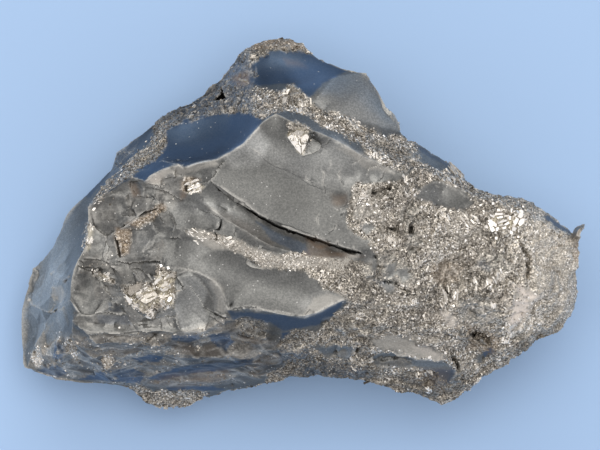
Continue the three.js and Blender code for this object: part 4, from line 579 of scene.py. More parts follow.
def granular_share(points, normals):
    """How granular the ore is at each point: 1 in the granular ore, 0 on glassy shells."""
    xy = frayed(points, 0.45, 1.4) + frayed(points, 0.2, 0.5) - points[:, :2]
    depth = np.max([edge_distance(xy, outline) for outline in granular_outlines], axis=0)
    glassy = np.max([edge_distance(xy, outline) for outline in glassy_outlines], axis=0)
    depth = np.minimum(depth, -glassy)
    # Where the skin faces down, the ore is granular east of X 19, and south of Y -9 from X -22 on.
    x, y, z = points.T
    hidden = np.maximum(x - 19, np.minimum(x + 22, -9 - y)) + 3 * swell(points, 9, 3)
    depth = np.where(normals[:, 2] < 0.02, hidden, depth)
    depth = np.where(z < 0.01, -1, depth)
    return np.clip(depth / 0.5 + 0.5, 0, 1)


def fetch(items, name, width=1, kind=np.float64):
    """One value, or a row of values, of every vertex, edge or other item of a mesh."""
    values = np.empty(len(items) * width, kind)
    items.foreach_get(name, values)
    return values if width == 1 else values.reshape(-1, width)


def read_mesh(mesh):
    return fetch(mesh.vertices, "co", 3) / MM, fetch(mesh.vertex_normals, "vector", 3)


def write_points(mesh, points):
    mesh.vertices.foreach_set("co", (points * MM).ravel())
    mesh.update()


def keep_values(mesh, name, values):
    mesh.attributes.new(name, "FLOAT", "POINT").data.foreach_set("value", values)


def refine(near, longer_than=0.0):
    """Cuts in two every long edge whose ends both pass the test."""
    chosen = near(*read_mesh(stone.data))
    bpy.ops.object.mode_set(mode="EDIT")
    bpy.ops.mesh.select_all(action="DESELECT")
    skin = bmesh.from_edit_mesh(stone.data)
    for edge in skin.edges:
        both = chosen[edge.verts[0].index] and chosen[edge.verts[1].index]
        if both and edge.calc_length() > longer_than * MM:
            edge.select_set(True)
    bmesh.update_edit_mesh(stone.data)
    bpy.ops.mesh.subdivide(number_cuts=1, ngon=False)
    bpy.ops.mesh.select_all(action="SELECT")
    bpy.ops.mesh.quads_convert_to_tris(quad_method="SHORTEST_DIAGONAL")
    bpy.ops.object.mode_set(mode="OBJECT")


def ridge_lines():
    """Ends of every edge of the skin, and which of them are ridges of glassy ore."""
    edges = stone.data.edges
    return fetch(edges, "vertices", 2, np.int64), fetch(edges, "use_seam", kind=bool)


def neighbour_mean(values, pairs):
    total = np.zeros_like(values)
    np.add.at(total, pairs[:, 0], values[pairs[:, 1]])
    np.add.at(total, pairs[:, 1], values[pairs[:, 0]])
    degree = np.maximum(np.bincount(pairs.ravel(), minlength=len(values)), 1)
    return total / (degree[:, None] if values.ndim == 2 else degree)


def ease(rounds, strength=0.5, along_ridge=0.3):
    """Smooths glassy shells between their ridges, and ridges along themselves."""
    points, normals = read_mesh(stone.data)
    pairs, sharp = ridge_lines()
    ridge_pairs = pairs[sharp]
    ridge_degree = np.bincount(ridge_pairs.ravel(), minlength=len(points))
    flat_base = points[:, 2] < BASE
    free = (granular_share(points, normals) < 0.5) & (ridge_degree == 0) & ~flat_base
    along = (ridge_degree == 2) & ~flat_base
    for _ in range(rounds):
        mean = neighbour_mean(points, pairs)
        ridge_mean = neighbour_mean(points, ridge_pairs)
        points[free] += strength * (mean[free] - points[free])
        points[along] += along_ridge * (ridge_mean[along] - points[along])
    write_points(stone.data, points)


def ridge_gap(points, limit):
    """Distance of each point from the nearest ridge, up to the limit."""
    own, _ = read_mesh(stone.data)
    pairs, sharp = ridge_lines()
    tree = KDTree(int(sharp.sum()) * 3)
    for i, (a, b) in enumerate(pairs[sharp]):
        for k in range(3):
            tree.insert(own[a] + (own[b] - own[a]) * k / 3, 3 * i + k)
    tree.balance()
    gap = np.full(len(points), limit)
    for i, p in enumerate(points):
        found = tree.find(p)[2]
        if found is not None and found < limit:
            gap[i] = found
    return gap


def line_gap(points, lines):
    """Distance in plan from the nearest of the lines, for points within 1 mm of one."""
    gap = np.full(len(points), FAR)
    xy = points[:, :2]
    for line in lines:
        box = np.array(line)
        near = np.all((xy > box.min(0) - 1) & (xy < box.max(0) + 1), axis=1)
        gap[near] = np.minimum(gap[near], line_distance(xy[near], line)[0])
    return gap


def broken_shares(points):
    return [inside_share(points[:, :2], outline, 1.2, at_edge=0.4) for outline in broken_ground]


def upper_where(test):
    """A test for refine: points of the upper side that also pass the given test."""
    return lambda points, normals: upper(points, normals) & test(points)


# Edges between breaks that meet at an angle are ridges, unless both sides are granular.
RIDGE_ANGLE = math.radians(27)
bpy.ops.object.select_all(action="DESELECT")
stone.select_set(True)
bpy.context.view_layer.objects.active = stone
bpy.ops.object.mode_set(mode="EDIT")
bpy.ops.mesh.select_all(action="SELECT")
bpy.ops.mesh.remove_doubles(threshold=0.002 * MM)
bpy.ops.mesh.select_all(action="DESELECT")
bpy.ops.mesh.select_mode(type="EDGE")
bpy.ops.mesh.edges_select_sharp(sharpness=RIDGE_ANGLE)
skin = bmesh.from_edit_mesh(stone.data)
skin.normal_update()
face_points = np.array([f.calc_center_median() for f in skin.faces]) / MM
face_normals = np.array([f.normal for f in skin.faces])
face_grain = granular_share(face_points, face_normals)
for edge in skin.edges:
    glassy_side = bool(min(face_grain[f.index] for f in edge.link_faces) < 0.5)
    edge.seam = edge.select and glassy_side
    edge.select = False
bmesh.update_edit_mesh(stone.data)
bpy.ops.object.mode_set(mode="OBJECT")

# The skin gets finer everywhere, and finest along ridges, steps, broken ground and cracks.
drawn_lines = [line for _, _, line in steps + cracks]
deep_cracks = [line for _, depth, line in cracks if depth > 0.7]
refine(lambda points, normals: np.ones(len(points), bool))
ease(rounds=8)
refine(upper, longer_than=0.45)
ease(rounds=6)
refine(upper_where(lambda points: ridge_gap(points, 1.0) < 0.6), longer_than=0.28)
refine(upper_where(lambda points: line_gap(points, drawn_lines) < 0.4), longer_than=0.26)
refine(upper_where(lambda points: np.max(broken_shares(points), axis=0) > 0.3), longer_than=0.42)
refine(upper_where(lambda points: line_gap(points, deep_cracks) < 0.4), longer_than=0.14)

points, normals = read_mesh(stone.data)
grain_share = granular_share(points, normals)
gap = ridge_gap(points, 2.0)
above = points[:, 2] > BASE
facing_up = np.clip((normals[:, 2] - 0.05) / 0.2, 0, 1)
xy = points[:, :2]
spots = frayed(points, 0.1, 1.1) + frayed(points, 0.04, 0.4) - xy

# Steps lower the skin on one side, and leave a crest with a pale line, partly worn edge and partly
# painted highlight.
relief = np.zeros(len(points))
open_edge = np.zeros(len(points))
for drop, run, line in steps:
    box = np.array(line)
    near = np.all((spots > box.min(0) - 6 * run) & (spots < box.max(0) + 6 * run), axis=1)
    distance, side, fade = line_distance(spots[near], line)
    lower = side < 0
    shape = np.where(lower, np.exp(-distance / (1.7 * run)), -0.12 * np.exp(-distance / 0.35))
    relief[near] -= 0.6 * drop * fade * shape
    crest = 0.7 * fade * ~lower * bell(distance, 0.17) * min(drop / 0.4, 1)
    open_edge[near] = np.maximum(open_edge[near], crest)

# Chips: large ones on broken ground and the hidden side, drawn out along the foot of the south.
west, south, flank = (share * upper(points, normals) for share in broken_shares(points))
south *= 1 - west
hidden_side = (1 - facing_up) * (1 - grain_share)
warped = points + 0.6 * np.stack([swell(points, 2.6, seed) for seed in (31, 32, 33)], 1)
west_chip, west_tone, west_kind, _ = chips(warped, size=3.2, seed=1)
south_chip, south_tone, _, south_ridge = chips(warped * (0.45, 1, 1), size=2.6, seed=2)
small_chip, small_tone, small_kind, small_ridge = chips(warped * (0.6, 1, 1), size=1.4, seed=3)
side_chip, side_tone, _, _ = chips(points, size=8, seed=4)
chipped = (
    0.28 * west * west_chip + 0.8 * south * south_chip
    + (0.2 * west + 0.45 * south + 0.2 * flank) * small_chip
    + 0.35 * flank * west_chip + 0.35 * hidden_side * side_chip - 0.1 * (west + south)
)
tone_and_painted_shading = (
    1 + (0.22 * west + 0.6 * flank) * (west_tone - 0.5) + 0.85 * south * (south_tone - 0.42)
    + (0.16 * west + 0.65 * south) * (small_tone - 0.5) + 0.3 * hidden_side * (side_tone - 0.5)
)
# Ridges between chips are paler: partly worn, partly a painted highlight.
chip_edge = np.maximum(0.65 * south * south_ridge, (0.3 * west + 0.4 * south) * small_ridge)
chip_edge = chip_edge * np.clip(0.5 + 1.1 * swell(points, 2.2, 26), 0, 1)
open_edge = np.maximum(0.8 * open_edge, chip_edge)

for tone, slope, direction, outline in facets:
    inside = inside_share(spots, outline, 0.3)
    away = spots - np.mean(outline, axis=0)
    toward = math.radians(direction)
    rise = away[:, 0] * math.cos(toward) + away[:, 1] * math.sin(toward)
    relief += inside * np.clip(slope * rise, -0.55, 0.55)
    tone_and_painted_shading += inside * (tone - 1)
for tone, soft, outline in washes:
    tone_and_painted_shading *= 1 + (tone - 1) * inside_share(xy, outline, soft)
for width, strength, line in crushed_edges:
    distance, _, fade = line_distance(spots, line)
    line_or_ridge = np.maximum(bell(distance, 0.5 * width), (distance < 0.9) * bell(gap, 0.2))
    worn_edge_and_highlight = strength * fade * line_or_ridge * (0.8 + 0.5 * swell(points, 0.9, 25))
    open_edge = np.maximum(open_edge, worn_edge_and_highlight)
crack = np.zeros(len(points))
for width, depth, line in cracks:
    distance, _, fade = line_distance(spots, line)
    relief -= depth * fade * bell(distance, width)
    crack = np.maximum(crack, min(1, depth / 0.6) * fade * bell(distance, 0.8 * width))
for kind, place, spacing, height, outline in ripples:
    inside = inside_share(xy, outline, 1.2, at_edge=0)
    if kind == "ring":
        travel = np.hypot(xy[:, 0] - place[0], xy[:, 1] - place[1])
    else:
        travel = xy[:, 0] * place[0] + xy[:, 1] * place[1]
    travel = travel + 0.5 * swell(points, 4, 12)
    wave = np.sin(math.tau * travel / spacing)
    relief += inside * height * wave * (0.6 + 0.6 * swell(points, 3, 13))
for x, y, radius, depth in pits:
    away = np.hypot(spots[:, 0] - x, spots[:, 1] - y) / radius
    bowl = -depth * np.exp(-1.6 * away ** 2) + 0.12 * depth * bell(away - 1.1, 0.15)
    relief += np.where(away < 1.4, bowl, 0)

# Granular ore is lumpy and stands in low ledges, less so in the band between the two shells.
terrace = 1.7 * swell(points, 5.5, 20) + 0.5 * swell(points, 1.6, 21)
part = terrace - np.floor(terrace)
ledge = np.floor(terrace) + np.clip((part - 0.36) / 0.28, 0, 1) - terrace
lump = (
    0.75 * ledge + 0.3 * np.abs(swell(points, 3.2, 4)) + 0.2 * np.abs(swell(points, 1.2, 5))
    + 0.08 * swell(points, 0.6, 14) - 0.16
)
shell_band = [(-22, 0), (-10, -1.5), (6, -5), (9, -7), (6, -10), (-8, -9), (-22, -5)]
lump *= 1 - 0.75 * inside_share(xy, shell_band, 1)
nick = bell(gap, 0.2) * np.clip(swell(points, 0.9, 6), 0, 1) * 0.28
wave = 0.03 * swell(points, 3.0, 7) + 0.012 * swell(points, 1.0, 15)
rise = grain_share * lump + (1 - grain_share) * (wave - nick + chipped) + facing_up * relief
points += normals * rise[:, None] * above[:, None]
write_points(stone.data, points)

# Marks for the colour of the skin, from its final shape: proud edges with a painted highlight,
# hollows with painted shade, and stains, some of them painted shade and blue reflection.
CRISP_ANGLE = math.radians(24)
bpy.ops.object.mode_set(mode="EDIT")
bpy.ops.mesh.select_all(action="DESELECT")
bpy.ops.mesh.select_mode(type="EDGE")
bpy.ops.mesh.edges_select_sharp(sharpness=CRISP_ANGLE)
bpy.ops.mesh.mark_sharp()
bpy.ops.object.mode_set(mode="OBJECT")
points, normals = read_mesh(stone.data)
pairs, sharp = ridge_lines()
crisp = fetch(stone.data.edges, "use_edge_sharp", kind=bool)
edge_length = np.linalg.norm(points[pairs[:, 0]] - points[pairs[:, 1]], axis=1)
reach = np.zeros(len(points))
np.maximum.at(reach, pairs[:, 0], edge_length)
np.maximum.at(reach, pairs[:, 1], edge_length)
bend = np.sum((points - neighbour_mean(points, pairs)) * normals, 1) / np.maximum(reach, 0.05)
for _ in range(2):
    bend = 0.5 * bend + 0.5 * neighbour_mean(bend, pairs)
# Convex places get a pale mark: a painted highlight along edges and crests.
proud = 0.8 * np.clip(bend / 0.14 - 0.2, 0, 1) * (1 - 0.6 * grain_share)
# Concave places are darkened: a painted shade in hollows and creases.
hollow = np.clip(-bend / 0.18 - 0.2, 0, 1) * (1 - 0.2 * grain_share) * (1 - 0.45 * west)


def stain_and_painted_shade(patches, soft):
    """Strength of stains and painted shade on the upper side, from a list of (strength, outline)."""
    value = np.zeros(len(points))
    ragged = frayed(points, 0.18, 0.8)
    for strength, outline in patches:
        value = np.maximum(value, strength * inside_share(ragged, outline, soft))
    return value * facing_up


def upper_share(outlines, soft):
    shares = [inside_share(spots, outline, soft) for outline in outlines]
    return np.max(shares, axis=0) * facing_up


rust = stain_and_painted_shade([
    (0.6, [(48.6, -2.7), (49.6, -2.7), (51, 0), (49.4, -0.4)]),
    (0.5, [(49.6, -3), (50.8, -3.4), (50, -7), (49.2, -6)]),
    (0.9, [(0.8, -1.9), (5.2, -3.2), (5.4, -4), (3, -4.6), (1.2, -3)]),
    (0.5, [(2, -3.4), (6, -4.6), (11.5, -5.6), (4, -5.9), (0, -5.4)]),
    (0.15, [(-17, 3.4), (-13, 2.2), (-8, -0.4), (-3.6, -3.4), (-5, -3.8), (-9.5, -1.4), (-14, 1.4)]),
    (0.6, [(-33.2, -0.6), (-30.4, -0.9), (-30.3, -3.5), (-30.8, -5), (-32.2, -5.4)]),
    (0.6, [(-31.2, 0.2), (-28, 1.8), (-24.6, 4), (-24, 3.2), (-26.4, 1.2), (-29.4, -0.5)]),
    (0.7, [(-33.4, -2), (-32.4, -2.2), (-31.8, -5.4), (-32.4, -5.6)]),
    (0.35, [(23.6, -7), (26, -6.4), (29.2, -7.4), (28.4, -9.8), (25.4, -10.8), (23.4, -9.4)]),
    (0.3, [(5.8, 5.4), (8.4, 5.3), (8.6, 3.8), (6.6, 3.2), (5.6, 4)]),
    (0.5, [(-21.4, 8), (-19.6, 8.6), (-17.8, 8.2), (-20, 7.6), (-20.4, 5.2), (-21.4, 4.6)]),
    (0.5, [(-30.6, 7.6), (-29.4, 7.4), (-28.4, 5), (-29.8, 5)]),
    (0.4, [(-27.6, -28.4), (-24, -26.8), (-17, -26.2), (-12, -25.8), (-14, -28.6), (-22, -29.4)]),
    (0.3, [(-8.6, 31.4), (-4, 31.8), (0.6, 31.4), (1, 35), (-9, 35)]),
    (0.7, [(30.3, -18.5), (30.9, -18.5), (30.9, -19.8), (30.3, -19.8)]),
    (0.2, [(22, -25.8), (27.6, -25.4), (26, -30.8), (20, -28)]),
    (0.25, [(-3, 30), (0.6, 29.2), (1.4, 28.2), (-2.4, 28.6)]),
    (0.5, [(-12.6, 26.6), (-9.6, 27.8), (-8.8, 25.4), (-11, 24.8)]),
    (0.35, [(31, -18), (36, -20), (35, -23.4), (30, -22)]),
], 0.8)
pale = stain_and_painted_shade([
    (0.5, [(9.4, 6.6), (13, 6.6), (17, 3), (14.6, -0.4), (12.8, 1.4), (9.6, 1)]),
    (0.35, [(27.6, 2), (32.6, 3), (33, -2), (29, -4.4), (26, -1)]),
    (0.5, [(21.8, -3.6), (26, -4), (30.6, -5.4), (27, -6.6), (22.6, -6.4)]),
    (0.5, [(4, -17), (12, -16.2), (19, -14.4), (17, -13.6), (10, -15)]),
    (0.5, [(18.6, -19.2), (26, -20), (29, -21), (24, -21.4), (19, -20.4)]),
    (0.8, [(-20.6, -1), (-17, -1), (-15.4, -2), (-11.6, -2.4), (-8, -4.2), (-4, -5.2), (2, -5.6), (9, -6.2),
     (8, -8.4), (3, -7.6), (-3, -7.4), (-6.4, -7.8), (-9, -5.8), (-12, -4.6), (-15.8, -4.2),
     (-18.6, -2.9)]),
    (0.9, [(-27.6, 7.6), (-26, 8.8), (-23.6, 10.3), (-22.6, 9.6), (-24.8, 8.2), (-25, 7)]),
    (0.55, [(-23.4, 9.8), (-22, 10.8), (-20.8, 10.2), (-15, 11.4), (-14.4, 10.9), (-18, 9.9), (-21, 9),
     (-22.4, 8.8)]),
    (0.5, [(8.2, -13.2), (1.2, -16.5), (0.6, -16), (2.6, -13), (5, -12.2)]),
    (0.45, [(-15.2, -9.6), (-13.8, -11.4), (-13.2, -15.8), (-14.8, -15.4), (-15, -12.6), (-16.6, -10.4)]),
    (0.9, [(38.6, -10.6), (41.6, -11.8), (43.2, -13), (41.4, -13.6), (41, -18), (38.6, -20), (38, -16),
     (38.4, -13.4)]),
    (0.5, [(42, 1), (46, -2), (50.6, -4), (50.4, -16), (47, -17), (42, -10)]),
    (0.5, [(11.4, 10.2), (17.6, 9), (15, 10.6), (12, 12.6), (8, 14), (6, 14), (10.4, 11.6)]),
    (0.7, [(13, -20.8), (16.6, -19.6), (21, -21.2), (25.6, -23.4), (25.6, -24.3), (21, -24), (17.6, -22.6),
     (14, -22)]),
    (0.6, granular_outlines[3]), (0.6, granular_outlines[11]), (0.6, granular_outlines[12]),
    (0.6, [(25, -16), (27, -15.6), (28.4, -18), (26.8, -18.4)]),
    (0.6, [(-44.6, -11.2), (-43, -10.8), (-42, -12.6), (-42.8, -14), (-44.2, -13.6)]),
    (0.5, [(-47.2, -22), (-45.4, -19), (-44.2, -17.4), (-45.6, -18.6), (-47.6, -21)]),
], 0.45)
bright = stain_and_painted_shade([
    (1.0, [(-25.2, -8.4), (-22.6, -9.4), (-22.8, -12), (-22.8, -14.6), (-25.4, -14.2), (-28.6, -15),
     (-31.2, -13), (-31.4, -12), (-28.4, -12.4), (-26, -11), (-25.8, -9.4)]),
    (1.0, [(-20.4, 7.9), (-17.2, 6.8), (-18.2, 5.9), (-20.2, 5.8)]),
    (0.9, [(-2.2, 16.2), (-0.2, 13.2), (0.5, 12.6), (1.4, 16.6), (-0.6, 17.4)]),
    (0.8, [(-36.8, -8.4), (-33.8, -9.4), (-34.2, -10), (-36.6, -9)]),
    (1.0, [(33.6, 0.6), (34.6, 1.8), (36.6, 2.2), (37, 0.6), (38.4, 1.2), (39.4, 2.8), (40.4, 2.4),
     (40.2, 0.4), (38.6, -1.6), (37.6, -0.4), (35.6, 0), (35.2, -1.3), (34, -1)]),
    (0.6, [(-38.2, -0.4), (-37.2, -0.4), (-37.6, -4.2), (-38.2, -4.4)]),
], 0.5)
# Painted blue reflection and shade on steep scars and on the ground between sparse crystals.
painted_reflection_patches = stain_and_painted_shade([
    (0.76, [(-30, 8.8), (-28.6, 10), (-26, 12.4), (-24.8, 14.6), (-24.8, 17.4), (-21, 19.2), (-16, 20.4),
     (-10, 20.8), (-6.4, 19.2), (-7.2, 18), (-8.1, 17), (-9.1, 15.8), (-10.1, 14.6), (-11.4, 13.9),
     (-12.6, 13.1), (-13.9, 12.4), (-15.1, 11.85), (-16.6, 11.65), (-18.1, 11.35), (-19.5, 10.85),
     (-20.8, 10.4), (-21.9, 11.05), (-23.5, 10.5), (-26.3, 9.1), (-27.8, 7.8)]),
    (0.74, [(-8.6, 31.4), (0, 31.4), (8.6, 27.6), (4, 25.4), (1.6, 22.6), (-1.4, 25.4), (-8.4, 25)]),
    (0.6, sparse[0]), (0.45, sparse[3]), (0.45, sparse[4]),
], 0.3)
# Painted shade and blue reflection in slits, pits and under lips, on slopes and on the steep south face.
painted_shade_patches = stain_and_painted_shade([
    (0.45, [(12.6, 6.6), (16.8, 7.4), (16.4, 5.4), (13, 4.8)]),
    (0.45, [(14.8, 0), (19, -0.4), (20.4, 0.8), (20.2, -2.8), (18, -1.6), (15, -1.2)]),
    (0.5, [(9, -9.8), (13.4, -9.6), (15.4, -10.4), (13, -13), (8.6, -15.6), (5, -17), (4, -19.8),
     (6.6, -19), (8.6, -16.8), (12.4, -13.8)]),
    (0.5, [(28.8, -7.4), (33, -6.2), (34.6, -8.2), (30.4, -9.6)]),
    (0.6, [(29.6, -18.8), (33, -20), (37, -22.4), (34, -24), (30.6, -21.6), (28.4, -20.8)]),
    (0.5, [(38.8, -19.6), (43, -18.8), (48.6, -18), (44, -21.4), (38, -23.4)]),
    (0.5, [(18, -26), (27, -26), (29, -24.4), (29.6, -29), (24, -32), (18, -28.6)]),
    (0.4, [(0, -24.6), (12, -24.6), (16, -27), (8, -28), (-4, -28)]),
    (0.35, [(20, 14), (28, 9.6), (34, 6.4), (31, 9), (22, 15)]),
    (0.35, [(-13, 31), (-9, 33), (-8.6, 28), (-13, 24), (-22, 19.6), (-28, 17), (-24, 22)]),
    (0.66, [(-13, -15.3), (-6, -15.9), (-2.5, -16.3), (-0.8, -16.55), (0.8, -16.75), (2.8, -16.05),
     (3.9, -15.45), (5, -14.85), (6.6, -14.05), (8.3, -13.1), (6, -16.2), (3, -18), (-3, -19),
     (-5.4, -17.4), (-12, -17)]),
    (0.85, [(-30.2, -24), (-27, -23.3), (-24.4, -23.6), (-25.4, -24.6), (-29, -24.6)]),
    (0.9, [(-27.6, -27.6), (-22, -25.6), (-17, -24.8), (-8.2, -24.2), (-8.6, -25), (-14, -26.2),
     (-19, -26.6), (-25, -28)]),
    (0.8, [(-24, -29.2), (-16, -29), (-13.4, -29.8), (-18, -30), (-24, -30)]),
    (0.75, [(-16.6, -19.8), (-13, -19.4), (-11.8, -21), (-13.2, -22.6), (-15, -21.8)]),
    (0.8, [(-3.4, -19.2), (1, -19.2), (0.6, -20.8), (-1.8, -22), (-3.4, -21.4)]),
    (0.75, [(-36, -26.4), (-30, -25.8), (-27.8, -26.8), (-29, -28.6), (-40, -27.8)]),
    (0.6, [(-47.4, -26.4), (-44, -25), (-42, -26.6), (-44, -27.8)]),
    (0.7, [(-23, -19.8), (-18.4, -19.8), (-17.6, -20.4), (-20, -21), (-23, -20.6)]),
    (0.6, [(-44, -21), (-42, -22), (-42.8, -24.6), (-44.6, -24)]),
    (0.5, [(-38, 3), (-34, 6), (-30, 8.6), (-25.8, 11.8), (-24.2, 17), (-16, 19.6), (-8.6, 19.8), (-8, 22),
     (-16, 24), (-24, 22), (-30, 13), (-36, 7)]),
    (0.4, [(43.8, 1.4), (48.6, -2.2), (49, 0), (45, 2.6)]),
    (0.5, [(-38, 5), (-34.6, 8.6), (-31, 10.8), (-28.2, 13.6), (-26.8, 17.4), (-30, 20), (-36, 14),
     (-42, 6)]),
    (0.25, [(-36.6, -16.2), (-31, -16.2), (-30, -18), (-36, -17.6)]),
    (0.25, [(-34.4, -13.8), (-32.4, -14.6), (-31.6, -15.6), (-34.4, -15.4)]),
    (0.4, [(-8, 1), (-4, -1.4), (1, -3.4), (2, -5.4), (-1, -4.8), (-5, -2.8)]),
], 0.2)
# The dark mark: painted shade and blue reflection, from both lists above.
dark = np.maximum(painted_reflection_patches, painted_shade_patches)
fully_dark = np.clip(dark, 0, 1)

# Brown chips on the broken ground, thin and matte ore, a gritty lens, and one olive ledge.
lens = glassy_outlines[1]
back_shoulder = [(-34.4, 9.6), (-31.4, 11.4), (-29, 14.2), (-29.6, 17.6), (-33, 15), (-36, 11)]
olive_ledge = [
    (-11.6, -17), (-9.8, -16.5), (-6.6, -17.2), (-6.1, -20.3), (-9, -20.5), (-11.6, -19.6),
]
brown_chip = south * (1 - fully_dark) + 0.25 * west * (west_kind > 0.62)
rust = np.maximum(rust, 0.12 * brown_chip * (0.5 + small_kind))
thin = upper_share(sparse, 1.2)
matte_share = upper_share(matte, 0.8)
speckled = 0.3 * inside_share(spots, back_shoulder, 0.8) * (0.8 + swell(points, 1.1, 27))
gritty = np.maximum.reduce([
    speckled,
    grain_share * (1 - 0.6 * thin) * (1 - 0.45 * matte_share),
    0.3 * brown_chip * small_tone,
    0.35 * inside_share(spots, lens, 0.6),
])
olive = inside_share(spots, olive_ledge, 0.3)
rust = rust * (1 - 0.6 * olive)
gritty = np.maximum(gritty, 0.7 * olive)
tone_and_painted_shading = tone_and_painted_shading * (1 - 0.45 * olive) * (1 + 0.4 * matte_share)
open_edge *= 1 - 0.6 * fully_dark
crumbled = frayed(points, 0.5, 0.7)
powdery = [strength * inside_share(crumbled, outline, 1.1) for strength, outline in powder]
# Some of these marks carry painted light: the proud edges a painted highlight, the hollows painted shade,
# the dark marks painted shade and blue reflection, and the tone painted shading.
marks = {
    "granular": grain_share,
    "gritty": gritty,
    "proud": np.maximum(proud, open_edge * (1 - 0.5 * grain_share)),
    "powdery": np.max(powdery, axis=0),
    "hollow": hollow,
    "rust": rust,
    "pale": pale,
    "bright": bright,
    "dark": dark,
    "tone_and_painted_shading": tone_and_painted_shading,
    "crack": crack,
    "thin": thin,
    "matte": matte_share,
}
for name, values in marks.items():
    keep_values(stone.data, name, values)
face_share = np.array([grain_share[list(face.vertices)].mean() for face in stone.data.polygons])
stone.data.polygons.foreach_set("use_smooth", face_share < 0.5)
stone.data.edges.foreach_set("use_edge_sharp", sharp | crisp)
stone.data.edges.foreach_set("use_seam", np.zeros(len(sharp), bool))
stone.data.update()
print("stone triangles", len(stone.data.polygons))


def feed(tree, socket, value):
    """Links a socket to another node's output, or sets it to a value."""
    if isinstance(value, bpy.types.NodeSocket):
        tree.links.new(value, socket)
    else:
        socket.default_value = value


def add(tree, kind, **settings):
    """Adds a node. Settings that start with in_ go to that input, the others to the node."""
    node = tree.nodes.new(kind)
    for key, value in settings.items():
        if key.startswith("in_"):
            label = key[3:].replace("_", " ")
            feed(tree, node.inputs[int(label) if label.isdigit() else label], value)
        else:
            setattr(node, key, value)
    return node


def blend(tree, factor, first, second, how="MIX"):
    node = add(tree, "ShaderNodeMix", data_type="RGBA", blend_type=how)
    for place, value in ((0, factor), (6, first), (7, second)):
        feed(tree, node.inputs[place], value)
    return node.outputs[2]


def maths(tree, how, *values, clamp=False):
    node = add(tree, "ShaderNodeMath", operation=how, use_clamp=clamp)
    for socket, value in zip(node.inputs, values):
        feed(tree, socket, value)
    return node.outputs[0]


def times(tree, first, second, clamp=False):
    return maths(tree, "MULTIPLY", first, second, clamp=clamp)


def larger(tree, first, second):
    return maths(tree, "MAXIMUM", first, second)


def mark(tree, name, output="Fac"):
    return add(tree, "ShaderNodeAttribute", attribute_name=name).outputs[output]


def new_group(name, inputs, outputs):
    """An empty shader node group with its sockets."""
    group = bpy.data.node_groups.new(name, "ShaderNodeTree")
    for label, kind, value in inputs:
        socket = group.interface.new_socket(label, in_out="INPUT", socket_type=kind)
        socket.default_value = value
    for label, kind in outputs:
        group.interface.new_socket(label, in_out="OUTPUT", socket_type=kind)
    return group, group.nodes.new("NodeGroupInput").outputs, group.nodes.new("NodeGroupOutput").inputs


def random_cells(group, scale):
    """Small cells over the object: the cell texture and three random numbers for each cell."""
    here = add(group, "ShaderNodeTexCoord").outputs["Object"]
    cells = add(group, "ShaderNodeTexVoronoi", in_Vector=here, in_Scale=scale)
    return cells, add(group, "ShaderNodeSeparateColor", in_0=cells.outputs["Color"]).outputs


# Dust: pale specks scattered over the stone.
dust, given, result = new_group(
    "pale_dust",
    [
        ("Scale", "NodeSocketFloat", 900.0),
        ("Size", "NodeSocketFloat", 0.12),
        ("Cover", "NodeSocketFloat", 0.3),
    ],
    [("Mask", "NodeSocketFloat")],
)
cells, chance = random_cells(dust, given["Scale"])
shown = maths(dust, "LESS_THAN", chance[0], given["Cover"])
speck_radius = times(dust, given["Size"], chance[1])
near_speck = maths(dust, "LESS_THAN", cells.outputs["Distance"], speck_radius)
feed(dust, result["Mask"], times(dust, shown, near_speck))

# Grit: the salt and pepper of small crystals, used on the stone and on its grains.
grit, given, result = new_group(
    "ore_grit",
    [
        ("Scale", "NodeSocketFloat", 3000.0),
        ("Dark", "NodeSocketColor", (0.05, 0.045, 0.04, 1)),
        ("Light", "NodeSocketColor", (0.4, 0.38, 0.34, 1)),
    ],
    [("Color", "NodeSocketColor"), ("Height", "NodeSocketFloat")],
)
cells, chance = random_cells(grit, given["Scale"])
tone = maths(grit, "POWER", chance[0], 1.6)
feed(grit, result["Color"], blend(grit, tone, given["Dark"], given["Light"]))
feed(grit, result["Height"], maths(grit, "SUBTRACT", chance[1], cells.outputs["Distance"]))

# The ore: dark glass with a fine mottle and a painted blue reflection and shade, then grit, a tone
# with painted shading, stains, worn edges with a painted highlight, cracks, painted shade in
# hollows, and dust.
GLASS_DARK = (0.084, 0.084, 0.079, 1)
GLASS_LIGHT = (0.119, 0.118, 0.111, 1)
GLASS_FLECK = (0.2, 0.195, 0.182, 1)
PAINTED_BLUE_REFLECTION = (0.025, 0.058, 0.11, 1)
GRIT_DARK = (0.11, 0.1, 0.08, 1)
GRIT_LIGHT = (0.64, 0.575, 0.485, 1)
PALE_ORE = (0.42, 0.39, 0.34, 1)
BRIGHT_ORE = (0.46, 0.415, 0.32, 1)
RUST = (0.2, 0.115, 0.055, 1)
CRUSHED_EDGE_AND_HIGHLIGHT = (0.62, 0.59, 0.53, 1)
POWDER = (0.72, 0.635, 0.555, 1)
CRACK_AND_HOLLOW_SHADE = (0.012, 0.011, 0.01, 1)
DUST = (0.6, 0.58, 0.54, 1)
ORE_METAL = 0.8
ORE_ROUGHNESS = 0.36

ore = bpy.data.materials.new("psilomelane_ore")
ore.use_nodes = True
tree = ore.node_tree
surface = tree.nodes["Principled BSDF"].inputs
here = add(tree, "ShaderNodeTexCoord").outputs["Object"]
noise = {"in_Vector": here, "in_Scale": 260.0, "in_Detail": 4.0, "in_Roughness": 0.6}
cloudy = add(tree, "ShaderNodeTexNoise", **noise).outputs[0]
noise = {"in_Vector": here, "in_Scale": 2900.0, "in_Detail": 3.0, "in_Roughness": 0.75}
fine = add(tree, "ShaderNodeTexNoise", **noise).outputs[0]
mottle = add(
    tree, "ShaderNodeMapRange", in_Value=fine, in_From_Min=0.4, in_From_Max=0.64
).outputs[0]
glass = blend(tree, cloudy, GLASS_DARK, GLASS_LIGHT)
glass = blend(tree, times(tree, mottle, 0.6), glass, GLASS_FLECK)
